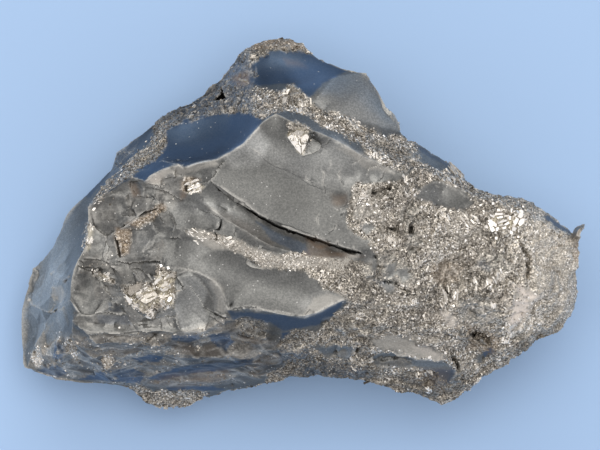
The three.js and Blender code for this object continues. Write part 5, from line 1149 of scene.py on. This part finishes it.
# Painted blue reflection and shade where the dark mark lies.
glass = blend(tree, mark(tree, "dark"), glass, PAINTED_BLUE_REFLECTION)
grain = add(
    tree, "ShaderNodeGroup", node_tree=grit, in_Scale=3600, in_Dark=GRIT_DARK, in_Light=GRIT_LIGHT
).outputs
skin_colour = blend(tree, mark(tree, "gritty"), glass, grain["Color"])
# The tone mark multiplies the colour. It is partly the ore's own tone and partly painted shading.
skin_colour = blend(tree, 1.0, skin_colour, mark(tree, "tone_and_painted_shading", "Color"), how="MULTIPLY")
flecked = maths(tree, "MULTIPLY_ADD", fine, 1.3, 0.5)
pale_patches = times(tree, mark(tree, "pale"), flecked, clamp=True)
rusty = times(tree, mark(tree, "rust"), times(tree, cloudy, 1.6), clamp=True)
# Pale proud edges: worn edges together with a painted highlight on convex places and crests.
worn_edge_and_highlight = times(tree, mark(tree, "proud"), times(tree, fine, 1.5), clamp=True)
crushed = times(tree, mark(tree, "powdery"), times(tree, fine, 1.9), clamp=True)
# Near black: painted shade in hollows, and the dark of open cracks.
hollow_shade, cracked = times(tree, mark(tree, "hollow"), 0.55), times(tree, mark(tree, "crack"), 0.92)
specks = add(
    tree, "ShaderNodeGroup", node_tree=dust, in_Scale=1300, in_Size=0.17, in_Cover=0.4
).outputs["Mask"]
for cover, colour in (
    (times(tree, pale_patches, 0.75), PALE_ORE),
    (mark(tree, "bright"), BRIGHT_ORE),
    (rusty, RUST),
    (times(tree, worn_edge_and_highlight, 0.9), CRUSHED_EDGE_AND_HIGHLIGHT),
    (crushed, POWDER),
    (larger(tree, hollow_shade, cracked), CRACK_AND_HOLLOW_SHADE),
    (times(tree, specks, 0.7), DUST),
):
    skin_colour = blend(tree, cover, skin_colour, colour)
feed(tree, surface["Base Color"], skin_colour)
dull = larger(tree, larger(tree, rusty, crushed), larger(tree, worn_edge_and_highlight, specks))
dull = larger(tree, dull, times(tree, pale_patches, 0.6))
feed(tree, surface["Metallic"], maths(tree, "MULTIPLY_ADD", dull, -0.8, ORE_METAL))
roughness = maths(tree, "MULTIPLY_ADD", cloudy, 0.12, ORE_ROUGHNESS)
feed(tree, surface["Roughness"], maths(tree, "ADD", roughness, times(tree, dull, 0.2)))
grain_height = times(tree, grain["Height"], mark(tree, "gritty"))
height = maths(tree, "ADD", times(tree, fine, 0.25), grain_height)
bump = add(tree, "ShaderNodeBump", in_Strength=0.5, in_Distance=0.12 * MM, in_Height=height)
feed(tree, surface["Normal"], bump.outputs["Normal"])
stone.data.materials.clear()
stone.data.materials.append(ore)
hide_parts("psilomelane_specimen")
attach(stone, "root")

# ---------------------------------------------------------------------------------------------
# Crystal grains. The granular ore is a mass of small flat-faced crystals, most of them 0.15 to
# 0.3 mm across, with longer blades among them. They grew in the ore and stick out of its breaks.
# ---------------------------------------------------------------------------------------------
GRAIN_LENGTH = 0.218  # the middle one of all lengths, before fine places make theirs shorter
WEST_ORE_END = 6  # the grains of the upper side are three pieces, parted here and at the next X
EAST_ORE_START = 26
FINE_END_START = 41
BLADE_SHARE = 0.035  # so many of the grains are blades: longer and narrower
BLADE_STRETCH = 2.4
BLADE_WIDTH = 0.32

bpy.ops.object.select_all(action="DESELECT")
bpy.ops.mesh.primitive_cube_add(size=1, location=(0, 0, 0))
bpy.ops.object.mode_set(mode="EDIT")
bpy.ops.mesh.select_all(action="DESELECT")
crystal = bmesh.from_edit_mesh(bpy.context.object.data)
for face in crystal.faces:
    face.select_set(face.normal.z > 0.9)
bmesh.update_edit_mesh(bpy.context.object.data)
bpy.ops.transform.resize(value=(0.84, 0.76, 1), center_override=(0.12, 0.08, 0.5))
bpy.ops.object.mode_set(mode="OBJECT")
seed_crystal = bpy.context.object
grain_corners = np.array([v.co for v in seed_crystal.data.vertices])
grain_faces = [list(f.vertices) for f in seed_crystal.data.polygons if f.normal.z > -0.9]
grain_faces = np.array(grain_faces)
bpy.data.objects.remove(seed_crystal)


def unit(vectors):
    return vectors / np.linalg.norm(vectors, axis=1, keepdims=True)


def turned(normals, spin, tilt_u, tilt_v):
    """Axes of crystals that stand on the surface: spun round its normal, then leaned over."""
    slope = normals[:, [2]]
    helper = np.where(slope > 0.3, [[1.0, 0, 0]], [[0, 0, 1.0]])
    helper = np.where(np.abs(slope) > 0.9, [[1.0, 0, 0]], helper)
    u = unit(helper - normals * np.sum(helper * normals, 1, keepdims=True))
    v = np.cross(normals, u)
    along = u * np.cos(spin)[:, None] + v * np.sin(spin)[:, None]
    across = -u * np.sin(spin)[:, None] + v * np.cos(spin)[:, None]
    up = unit(normals + along * np.tan(tilt_u)[:, None] + across * np.tan(tilt_v)[:, None])
    along = unit(along - up * np.sum(along * up, 1, keepdims=True))
    return along, np.cross(up, along), up


def new_piece(name, corners, faces, tone):
    """A mesh object from corners in millimetres, with a tone for each corner."""
    mesh = bpy.data.meshes.new(name)
    mesh.from_pydata((corners * MM).tolist(), [], faces)
    keep_values(mesh, "tone", tone)
    mesh.update()
    piece = bpy.data.objects.new(name, mesh)
    bpy.context.scene.collection.objects.link(piece)
    return piece


def grow_grains(name, places, normals, length, width, height, spin, lean, tone, sink, seed):
    """One mesh of many crystals on the stone. Every crystal keeps its tone in an attribute."""
    dice = np.random.default_rng(seed)
    count, corner_count = len(places), len(grain_corners)
    lean = np.clip(lean * dice.normal(size=(2, count)), -1.1, 1.1)
    along, across, up = turned(normals, spin, lean[0], lean[1])
    shape = grain_corners[None] * (1 + 0.22 * dice.uniform(-1, 1, (count, corner_count, 3)))
    body = (
        shape[:, :, [0]] * (along * length[:, None])[:, None]
        + shape[:, :, [1]] * (across * width[:, None])[:, None]
        + (shape[:, :, [2]] - sink) * (up * height[:, None])[:, None]
        + places[:, None]
    )
    body[:, :, 2] = np.maximum(body[:, :, 2], 0.02)
    faces = (grain_faces[None] + corner_count * np.arange(count)[:, None, None]).reshape(-1, 4)
    print(name, "triangles", 2 * len(faces))
    return new_piece(name, body.reshape(-1, 3), faces.tolist(), np.repeat(tone, corner_count))


def sow(where, per_mm2, seed):
    """Random places on the stone, denser where the given share is higher."""
    dice = np.random.default_rng(seed)
    mesh = stone.data
    mesh.calc_loop_triangles()
    corners = fetch(mesh.loop_triangles, "vertices", 3, np.int64)
    points, _ = read_mesh(mesh)
    a, b, c = (points[corners[:, k]] for k in range(3))
    flat = np.cross(b - a, c - a)
    area = np.linalg.norm(flat, axis=1) / 2
    flat /= np.maximum(2 * area, 1e-9)[:, None]
    middle = (a + b + c) / 3
    share = {
        name: fetch(mesh.attributes[name].data, "value")[corners].mean(1)
        for name in marks if name not in ("proud", "crack")
    }
    share["matte"] = np.maximum(share["matte"], 0.7 * share["powdery"]) * (flat[:, 2] > 0)
    from_crack = [line_distance(middle[:, :2], line)[0] - width for width, _, line in cracks]
    bare = np.min(from_crack, axis=0) < 0.07
    weight = area * where(middle, flat, share) * (1 - 0.85 * share["matte"])
    weight = weight * (1 - 0.72 * share["thin"]) * ~bare
    weight = weight * (1 - 0.4 * share["dark"]) * (1 - 0.8 * share["bright"])
    count = int(weight.sum() * per_mm2)
    chosen = np.searchsorted(np.cumsum(weight), dice.uniform(0, weight.sum(), count))
    r, t = np.sqrt(dice.uniform(size=count))[:, None], dice.uniform(size=count)[:, None]
    spots = a[chosen] * (1 - r) + b[chosen] * (r * (1 - t)) + c[chosen] * (r * t)
    return spots, flat[chosen], {name: values[chosen] for name, values in share.items()}, dice


def in_view(normals):
    return normals[:, 2] > -0.05


def fine_end(points):
    """The east end of the stone is finer and paler."""
    return 1 / (1 + np.exp(-(points[:, 0] - FINE_END_START + 1.5 * swell(points, 4, 8)) / 0.8))


def east_ore(points, normals, share):
    east = points[:, 0] > EAST_ORE_START
    return share["granular"] * in_view(normals) * east * (1 + 0.8 * fine_end(points))


def middle_ore(points, normals, share):
    x = points[:, 0]
    return share["granular"] * in_view(normals) * (x > WEST_ORE_END) * (x <= EAST_ORE_START)


def west_ore(points, normals, share):
    ore_share = np.maximum(share["granular"], 0.3 * share["gritty"])
    west = points[:, 0] <= WEST_ORE_END
    return ore_share * in_view(normals) * west * (1 + 0.5 * share["pale"])


def under_ore(points, normals, share):
    on_base = points[:, 2] < 0.3
    return share["granular"] * ~in_view(normals) * ~on_base


# The grains' colour runs with their tone, from near black to near white, and all but the palest
# are speckled.
CRYSTAL_RUST = (0.36, 0.25, 0.14, 1)
CRYSTAL_DARK = (0.04, 0.035, 0.029, 1)
CRYSTAL_WHITE = (1.0, 0.95, 0.88, 1)
crystal_tones = (
    (0.22, (0.16, 0.14, 0.115, 1)), (0.5, (0.46, 0.41, 0.345, 1)), (0.78, (0.86, 0.79, 0.69, 1)),
)
glint = bpy.data.materials.new("crystal_grains")
glint.use_nodes = True
tree = glint.node_tree
surface = tree.nodes["Principled BSDF"].inputs
ramp = add(tree, "ShaderNodeValToRGB", in_Fac=mark(tree, "tone"))
ramp.color_ramp.elements[0].color = CRYSTAL_DARK
ramp.color_ramp.elements[1].color = CRYSTAL_WHITE
for place, colour in crystal_tones:
    ramp.color_ramp.elements.new(place).color = colour
speckle = add(
    tree, "ShaderNodeGroup", node_tree=grit,
    in_Scale=5200, in_Dark=(0.6, 0.6, 0.6, 1), in_Light=(1.0, 1.0, 1.0, 1)
).outputs["Color"]
speckle_share = maths(tree, "MULTIPLY_ADD", mark(tree, "tone"), -5.0, 4.8, clamp=True)
crystal_colour = blend(tree, speckle_share, ramp.outputs["Color"], speckle, how="MULTIPLY")
crystal_colour = blend(tree, times(tree, mark(tree, "rust"), 0.7), crystal_colour, CRYSTAL_RUST)
feed(tree, surface["Base Color"], crystal_colour)
surface["Metallic"].default_value = 0.5
surface["Roughness"].default_value = 0.35


def finish_grains(grains, rust):
    keep_values(grains.data, "rust", np.repeat(rust, len(grain_corners)))
    grains.data.materials.append(glint)
    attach(grains, "root")


for name, region, per_mm2, seed in (
    ("east_grains", east_ore, 16, 11),
    ("middle_grains", middle_ore, 20, 12),
    ("west_grains", west_ore, 18, 14),
    ("under_grains", under_ore, 5.5, 13),
):
    places, normals, share, dice = sow(region, per_mm2, seed)
    count = len(places)
    fine = np.maximum(fine_end(places), 0.9 * share["pale"] * (places[:, 0] < 10))
    length = dice.lognormal(math.log(GRAIN_LENGTH), 0.36, count) * (1 - 0.35 * fine)
    blade = dice.uniform(size=count) < BLADE_SHARE * (1 - fine)
    length = np.where(blade, length * BLADE_STRETCH, length)
    width = length * np.where(blade, BLADE_WIDTH, dice.uniform(0.7, 1, count))
    height = np.minimum(length, 0.5) * dice.uniform(0.2, 0.5, count)
    # Blades lie side by side with their neighbours, and other grains any way round.
    spin = np.where(blade, 2.2 * swell(places, 6, 9), 0)
    spin = spin + dice.uniform(0, math.tau, count) * ~blade
    patch = 0.5 + 0.28 * swell(places, 6, 10) + 0.28 * swell(places, 2.2, 16)
    tone = dice.beta(1.5, 2.0, count) * (0.68 + 0.7 * patch) * (1 - 0.3 * fine) + 0.06 + 0.2 * fine
    # Grains in hollows and under the dark mark are darkened as painted shade; matte ore darkens them in its
    # own tone.
    for amount, mark_name in ((0.5, "hollow"), (0.6, "dark"), (0.3, "matte")):
        tone = tone * (1 - amount * share[mark_name])
    tone = tone + 0.12 * share["pale"] + 0.25 * share["bright"]
    # The tone below, with its painted shading, carries over to the grains.
    tone = np.clip(tone * share["tone_and_painted_shading"] ** 0.6, 0, 1)
    grains = grow_grains(
        name, places, normals, length, width, height, spin, lean=0.32, tone=tone, sink=0.1, seed=seed
    )
    finish_grains(grains, share["rust"])

# ---------------------------------------------------------------------------------------------
# Bright blades. In sixty spots or so the ore grew as longer blades, most of them 0.5 to 1.5 mm
# long, which lie side by side and catch the light.
# ---------------------------------------------------------------------------------------------
# Where they grew: the middle, the radius, how many, their direction in degrees counter-clockwise
# from +X, length and tone.
blade_clusters = [
    (34.4, 0.6, 1.5, 14, 70, 0.8, 0.9), (36.2, 1.2, 1.4, 8, 15, 1.0, 0.9),
    (39, 1.2, 1.6, 12, 40, 0.8, 0.97), (38.4, -0.9, 1.0, 8, 60, 0.7, 0.95),
    (34.2, -10.6, 1.1, 12, 105, 1.5, 0.88), (35.6, -9.4, 1.2, 10, 100, 1.3, 0.86),
    (31.4, -10.8, 1.0, 8, 100, 0.9, 0.88), (26.8, -12.4, 1.0, 8, 110, 2.0, 0.8),
    (28, -12.8, 0.5, 5, 65, 1.4, 0.92), (30.2, 0.8, 1.3, 12, 130, 1.4, 0.85),
    (18.9, 8.1, 0.5, 5, 120, 1.0, 0.9), (27.4, 8.8, 1.8, 26, 125, 1.5, 0.72),
    (15.8, -2.2, 0.7, 12, 95, 0.9, 0.85), (16.7, -2.9, 0.7, 12, 80, 0.8, 0.88),
    (13.2, -11.9, 0.5, 7, 150, 0.6, 0.92), (18.4, -11.1, 0.5, 6, 150, 0.7, 0.9),
    (38.3, -18.2, 1.6, 18, 100, 0.8, 0.88), (36.9, -20.6, 0.6, 9, 80, 0.8, 0.97),
    (38, -19.6, 0.4, 6, 60, 0.7, 0.97), (34.6, -14.4, 0.6, 9, 100, 0.8, 0.92),
    (36.6, -15, 0.8, 8, 150, 0.7, 0.85), (30.8, -4.8, 0.5, 7, 120, 0.7, 0.95),
    (28, -3.2, 0.5, 6, 150, 0.7, 0.88), (25.8, 1.2, 0.9, 10, 120, 0.8, 0.82),
    (43.8, -1.4, 0.9, 10, 60, 0.5, 0.82), (13, 12.6, 0.8, 12, 80, 0.7, 0.9),
    (9.8, 17.8, 1.2, 14, 140, 0.7, 0.82), (0.6, 21.4, 1.6, 18, 110, 0.9, 0.82),
    (-3.8, 23, 1.8, 16, 35, 0.8, 0.8), (-9.9, 26, 1.0, 8, 140, 1.0, 0.5),
    (-19.2, 20.4, 1.1, 14, 50, 0.6, 0.85), (-26.6, 14.4, 1.4, 12, 70, 0.5, 0.8),
    (11.6, 5.4, 0.6, 8, 30, 0.6, 0.92), (15.4, 4.8, 0.5, 6, 20, 0.6, 0.9),
    (10.9, -16, 0.9, 12, 20, 0.7, 0.88), (17.6, -14.8, 0.9, 12, 60, 0.7, 0.85),
    (20.4, -13.8, 0.4, 5, 100, 0.6, 0.97), (25.6, -14.6, 0.9, 9, 120, 0.7, 0.82),
    (10.2, -24.8, 1.3, 14, 120, 0.8, 0.78), (12.8, -24.4, 0.4, 6, 40, 0.6, 0.9),
    (23.2, -29.8, 0.5, 6, 100, 0.9, 0.95), (28.6, -22.8, 1.2, 12, 100, 0.6, 0.85),
    (22.4, -27, 1.4, 10, 110, 1.2, 0.7), (4.6, -8.9, 1.4, 14, 90, 0.5, 0.88),
    (6.6, -11, 1.2, 14, 60, 0.5, 0.9), (-2.8, -6.4, 1.2, 12, 60, 0.5, 0.88),
    (-12.6, -3.1, 0.9, 14, 30, 0.5, 0.95), (-18.4, -1.9, 1.6, 20, 150, 0.6, 0.95),
    (-28.4, -30.4, 1.3, 12, 150, 0.6, 0.8), (-20, -30.6, 1.2, 10, 100, 0.6, 0.75),
    (-30.4, -13, 0.8, 4, 140, 1.0, 0.9), (-27.4, -12.8, 1.5, 5, 35, 1.4, 0.8),
    (-24.6, -10.4, 1.6, 10, 60, 1.0, 0.85), (-24, -13.6, 1.3, 10, 50, 0.9, 0.85),
    (-27, -15.8, 0.8, 16, 40, 0.6, 0.92), (-34.8, -9.3, 0.7, 16, 30, 0.6, 1.0),
    (-19, 6.9, 1.2, 34, 20, 0.9, 1.0), (-0.6, 15.2, 1.1, 30, 115, 0.9, 0.97),
    (-37.7, -2.6, 0.5, 9, 90, 0.8, 0.95), (-37.4, -0.4, 0.5, 8, 90, 0.5, 0.88),
    (-29.5, -14.6, 0.6, 10, 150, 0.8, 1.0), (-36.4, 4.6, 0.9, 8, 40, 0.6, 0.88),
]
stone_tree = BVHTree.FromPolygons(
    [v.co for v in stone.data.vertices], [f.vertices[:] for f in stone.data.polygons]
)


def drop_onto_stone(x, y):
    """Where a straight fall from above meets the stone, in metres, and the normal there."""
    from_above = Vector((x * MM, y * MM, 100 * MM))
    hit, normal, _, _ = stone_tree.ray_cast(from_above, Vector((0, 0, -1)))
    return hit, normal


dice = np.random.default_rng(21)
rows = []
for x, y, radius, count, direction, size, brightness in blade_clusters:
    for _ in range(count):
        away, turn = radius * math.sqrt(dice.uniform()), dice.uniform(0, math.tau)
        hit, normal = drop_onto_stone(x + away * math.cos(turn), y + away * math.sin(turn))
        if hit is None or normal.z < 0.2:
            continue
        spin = math.radians(direction + dice.normal() * 12)
        length = size * dice.lognormal(0, 0.25)
        tone = min(1, brightness * dice.uniform(0.85, 1.08))
        rows.append(([c / MM for c in hit], list(normal), spin, length, tone))
places, normals, spin, length, tone = (np.array(column) for column in zip(*rows))
width = np.clip(0.3 * length, 0.16, 0.36)
height = 0.25 * dice.uniform(0.6, 1.4, len(places))
blades = grow_grains(
    "bright_blades", places, normals, length, width, height, spin,
    lean=0.22, tone=tone, sink=0.05, seed=22
)
finish_grains(blades, np.zeros(len(places)))

# ---------------------------------------------------------------------------------------------
# Cleaved faces. Larger crystals, nearly all in two nests on the western shells and near the east
# end, split along their flat faces, most of which shine nearly white. Each grew out of the ore.
# ---------------------------------------------------------------------------------------------
# The tone, the slope, the direction that it rises towards, in degrees counter-clockwise from +X,
# and the outline.
cleaved_faces = [
    (0.72, 0.1, 300, [(-28.6, -13.6), (-28.1, -12.6), (-27.2, -11.6), (-26.5, -11.4), (-25.6, -12.4),
     (-26, -13.1), (-26.8, -13.7), (-27.6, -14.1)]),
    (0.86, 0.3, 300, [(-29.6, -12.2), (-28.8, -11.9), (-28.2, -11.4), (-27.4, -11.0), (-27.3, -11.25),
     (-28.1, -11.8), (-28.8, -12.3), (-29.4, -12.45)]),
    (0.42, 0.1, 120, [(-30.9, -12.3), (-30.6, -11.1), (-29.5, -10.7), (-27.9, -10.1), (-27.5, -10.8),
     (-28.4, -11.3), (-29.2, -11.9), (-30.3, -12.7)]),
    (0.98, 0.2, 120, [(-31.3, -12.4), (-30.8, -12.9), (-30.1, -13.4), (-29.8, -14.1), (-30.6, -14.1),
     (-31.1, -13.4)]),
    (0.8, 0.3, 30, [(-30, -14.2), (-29.2, -14), (-29.3, -14.5), (-29.9, -14.7)]),
    (0.6, 0.3, 120, [(-29.1, -14), (-28.7, -14.4), (-29, -15.1), (-29.5, -15.1), (-29.2, -14.6)]),
    (0.95, 0.25, 200, [(-25.2, -8.3), (-24.8, -8.4), (-25, -9.7), (-25.9, -10.7), (-26.1, -10.2),
     (-25.3, -9.2)]),
    (0.8, 0.2, 110, [(-24.3, -9.8), (-23.7, -10), (-23.9, -11.3), (-24.9, -11.6), (-24.9, -10.9),
     (-24.5, -10.6)]),
    (1.0, 0.35, 100, [(-25.1, -11.2), (-24.6, -11.5), (-23.6, -11.3), (-23.7, -11.7), (-24.6, -11.95),
     (-25, -11.7)]),
    (0.92, 0.2, 60, [(-23.9, -11.1), (-23.3, -10.6), (-23, -11.2), (-23.5, -11.4)]),
    (0.95, 0.2, 20, [(-23.8, -13.6), (-23.4, -12.8), (-22.9, -12.9), (-23.1, -13.5), (-23.5, -13.8)]),
    (0.7, 0.3, 300, [(-25.4, -12.4), (-24.4, -12.7), (-23.4, -12.4), (-23.6, -12.8), (-24.6, -13.1),
     (-25.4, -12.8)]),
    (0.75, 0.2, 40, [(-25, -13.6), (-24.2, -13.4), (-24.2, -14.4), (-25, -14.6)]),
    (0.95, 0.2, 60, [(-23.9, -14.9), (-23.6, -14.4), (-23.4, -14.8), (-23.8, -15.1)]),
    (0.85, 0.3, 140, [(-22.9, -12.2), (-22.5, -12.4), (-22.3, -13.2), (-22.6, -13.2)]),
    (0.9, 0.2, 60, [(-23.9, -7.5), (-23.5, -7.4), (-23.3, -7.8), (-23.7, -8)]),
    (0.95, 0.2, 200, [(-25.2, -7.1), (-24.8, -7), (-24.6, -7.4), (-25, -7.6)]),
    (0.7, 0.2, 60, [(-24, -8.9), (-22.8, -8.6), (-22.4, -9.2), (-23.2, -9.4), (-23.6, -9.9)]),
    (0.88, 0.2, 60, [(-28.1, -15.8), (-27.4, -16.3), (-26.7, -16.6), (-26.6, -16.9), (-27.4, -16.7),
     (-28.1, -16.2)]),
    (0.85, 0.2, 100, [(-26.8, -15), (-26.4, -15), (-26.2, -16.4), (-26.6, -16.2)]),
    (0.9, 0.2, 60, [(-26.7, -14.4), (-26.3, -14.3), (-26.2, -14.7), (-26.6, -14.8)]),
    (1.0, 0.1, 60, [(38.2, 0.5), (38.8, 1.3), (39.3, 1.1), (39, 0.4), (38.6, -0.1)]),
    (1.0, 0.05, 120, [(39, 1.5), (39.4, 2.2), (40.1, 2.4), (40, 1.5), (39.6, 1.15)]),
    (1.0, 0.12, 20, [(39.4, 0.9), (40.3, 1.2), (40.1, 0.3), (39.5, -0.2), (39.1, 0.2)]),
    (0.95, 0.2, 60, [(38.9, -0.2), (39.4, -0.3), (39.2, -0.6)]),
    (0.95, 0.2, 60, [(38.4, 2.1), (38.9, 1.9), (38.6, 1.5)]),
    (0.92, 0.2, 60, [(37.4, 1.6), (37.9, 1.5), (37.8, 0.9), (37.5, 1)]),
    (1.0, 0.1, 60, [(39.3, 2.6), (39.7, 2.8), (40.1, 2.5), (39.8, 2.3), (39.4, 2.35)]),
    (1.0, 0.1, 160, [(38.1, -0.3), (38.9, -0.5), (38.6, -1.1), (38, -1)]),
    (1.0, 0.1, 60, [(37.6, -0.9), (38.2, -1.2), (38.1, -1.8), (37.6, -1.5)]),
    (1.0, 0.1, 60, [(33.7, 0.3), (34.4, 0.5), (34.7, -0.1), (34.1, -0.5)]),
    (1.0, 0.15, 150, [(34.6, 0.4), (35.3, 0.2), (35.2, -0.4), (34.8, -0.2)]),
    (1.0, 0.1, 20, [(34, -0.6), (34.7, -0.3), (35, -1), (34.4, -1.3)]),
    (0.97, 0.1, 100, [(35.1, -0.5), (35.7, -0.4), (35.5, -1), (35.1, -1.1)]),
    (0.95, 0.2, 100, [(34.8, -1.4), (35.2, -1.2), (35.3, -1.7)]),
    (0.92, 0.2, 60, [(33.2, -0.4), (33.6, -0.1), (33.7, -0.7)]),
    (1.0, 0.1, 120, [(33.6, 0.8), (34.2, 1), (35, 0.4), (34.9, 0.15), (34.1, 0.25)]),
    (1.0, 0.1, 150, [(34, 2), (34.9, 1.6), (34.8, 1.25), (34.1, 1.6)]),
    (1.0, 0.1, 100, [(34.9, 2.15), (36.4, 2.15), (36.3, 1.8), (35.6, 1.75), (35, 1.8)]),
    (0.97, 0.1, 100, [(35.3, 1.4), (36.3, 1.6), (36.4, 1.35), (35.4, 1.15)]),
    (1.0, 0.1, 100, [(35.3, 0.5), (37, 1), (37.1, 0.7), (35.5, 0.2)]),
    (0.97, 0.1, 60, [(36.6, 0.15), (37.4, 0.65), (37.6, 0.25), (36.9, -0.1)]),
    (0.95, 0.1, 60, [(36.3, -0.45), (37, -0.25), (36.9, -0.6), (36.4, -0.75)]),
    (0.97, 0.1, 60, [(35.4, 2.9), (35.8, 2.9), (35.8, 2.5), (35.4, 2.5)]),
    (1.0, 0.1, 60, [(34.4, 4.1), (34.8, 4.1), (34.9, 3.7), (34.4, 3.6)]),
    (0.95, 0.1, 60, [(32.2, 3.7), (32.6, 3.7), (32.5, 3.4), (32.2, 3.4)]),
    (0.9, 0.1, 60, [(32.7, 2.7), (33.1, 2.6), (33.1, 2.3), (32.8, 2.4)]),
    (0.97, 0.1, 60, [(35, -2.1), (35.4, -2.1), (35.4, -2.6), (35, -2.6)]),
    (0.95, 0.1, 60, [(39, -1.9), (39.3, -1.9), (39.3, -2.3), (39, -2.3)]),
    (0.98, 0.3, 340, [(-2.2, 15.7), (-1.5, 16.2), (-0.5, 15), (0.1, 13.9), (0.2, 12.7), (-0.7, 13.6)]),
    (0.9, 0.35, 160, [(0.2, 15.4), (1.1, 16.5), (1.6, 15.8), (0.9, 13.9), (0.3, 12.8), (0.3, 14)]),
    (0.7, 0.2, 90, [(-1.5, 16.4), (-0.4, 17), (0.8, 16.7), (0, 15.6), (-0.4, 15.3)]),
    (0.72, 0.2, 30, [(-3.4, 21.6), (-2.6, 21.9), (-2.2, 23), (-2.9, 22.9)]),
    (0.8, 0.2, 60, [(-3.2, 23.4), (-2.2, 23.5), (-1.8, 24.4), (-2.8, 24.3)]),
    (0.95, 0.1, 60, [(39.9, 3.5), (40.3, 3.4), (40.2, 3.1), (39.9, 3.2)]),
    (0.85, 0.1, 60, [(31.3, 6.5), (31.6, 6.6), (32.7, 6.1), (32.4, 5.9)]),
    (0.9, 0.1, 60, [(37.8, 2.9), (38.1, 3), (38, 2.2), (37.8, 2.3)]),
]
NEST_BORDER = 10  # nests east of this X stand prouder and lie flatter than those west of it
ROOT_DEPTH = 0.9  # how far each crystal goes down into the ore

corners, faces, tones = [], [], []
for tone, slope, direction, outline in cleaved_faces:
    outline = np.array(outline)
    middle = outline.mean(0)
    east = middle[0] > NEST_BORDER
    hits = [drop_onto_stone(x, y)[0] for x, y in (outline + middle) / 2]
    landing = np.array([hit for hit in hits if hit is not None]) / MM
    # The flat face follows the plane through the ore below it, partly, and leans as given.
    ground = np.c_[landing[:, :2] - middle, np.ones(len(landing))]
    plane, *_ = np.linalg.lstsq(ground, landing[:, 2], rcond=None)
    toward = math.radians(direction)
    lean = (0.3 if east else 0.8) * np.clip(plane[:2], -1, 1)
    lean = lean + slope * np.array([math.cos(toward), math.sin(toward)])
    top = np.c_[outline, plane[2] + (0.55 if east else 0.2) + (outline - middle) @ lean]
    x, y = top[:, 0], top[:, 1]
    if np.sum(x * np.roll(y, -1) - np.roll(x, -1) * y) < 0:
        top = top[::-1]
    root = top + (top - top.mean(0)) * (0.15, 0.15, 0) - (0, 0, ROOT_DEPTH)
    first, count = len(corners), len(outline)
    corners += top.tolist() + root.tolist()
    faces.append([first + k for k in range(count)])
    for k in range(count):
        after = (k + 1) % count
        faces.append([first + count + k, first + count + after, first + after, first + k])
    tones += [tone] * count + [0.5 * tone] * count
cleaved = new_piece("cleaved_faces", np.array(corners), faces, tones)
cleaved.data.materials.append(glint)
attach(cleaved, "root")

# ---------------------------------------------------------------------------------------------
# Display table, lights and camera. The stone lies on a plain pale sheet and is seen from above.
# Places and sizes in this section are in metres.
# ---------------------------------------------------------------------------------------------
PAPER_COLOUR = (0.37, 0.52, 0.74, 1)
ROOM_COLOUR = (0.94, 0.95, 1.0, 1)
ROOM_STRENGTH = 0.72
CAMERA_HEIGHT = 3.022  # so high, with so long a lens, that the view is nearly parallel
CAMERA_LENS = 1000  # focal length in millimetres
STONE_MIDDLE = Vector((0, 0, 0.02))

bpy.ops.object.select_all(action="DESELECT")
bpy.ops.mesh.primitive_plane_add(size=8, location=(0, 0, 0))
table = bpy.context.object
table.name = "display_table"
paper = bpy.data.materials.new("pale_paper")
paper.use_nodes = True
surface = paper.node_tree.nodes["Principled BSDF"].inputs
surface["Base Color"].default_value = PAPER_COLOUR
surface["Roughness"].default_value = 0.85
table.data.materials.append(paper)

room = bpy.data.worlds.new("room")
room.use_nodes = True
background = room.node_tree.nodes["Background"].inputs
background["Color"].default_value = ROOM_COLOUR
background["Strength"].default_value = ROOM_STRENGTH
bpy.context.scene.world = room


def softbox(name, place, size, power, colour):
    light = bpy.data.lights.new(name, "AREA")
    light.shape = "RECTANGLE"
    light.size, light.size_y = size
    light.energy = power
    light.color = colour
    lamp = bpy.data.objects.new(name, light)
    lamp.location = place
    lamp.rotation_euler = (STONE_MIDDLE - Vector(place)).to_track_quat("-Z", "Y").to_euler()
    lamp.visible_camera = False
    bpy.context.scene.collection.objects.link(lamp)


softbox(
    "overhead_softbox", place=(0.0, 0.3, 1.7), size=(1.5, 1.3), power=15, colour=(1.0, 0.985, 0.96)
)
softbox("north_softbox", place=(-0.2, 1.3, 0.9), size=(1.2, 0.5), power=5, colour=(1.0, 0.99, 0.97))

camera = bpy.data.objects.new("camera", bpy.data.cameras.new("camera"))
camera.data.lens = CAMERA_LENS
camera.data.sensor_width = 36
camera.data.clip_start, camera.data.clip_end = 0.5, 20
camera.location = (0, 0, CAMERA_HEIGHT)
bpy.context.scene.collection.objects.link(camera)
bpy.context.scene.camera = camera
bpy.context.scene.view_settings.view_transform = "Standard"
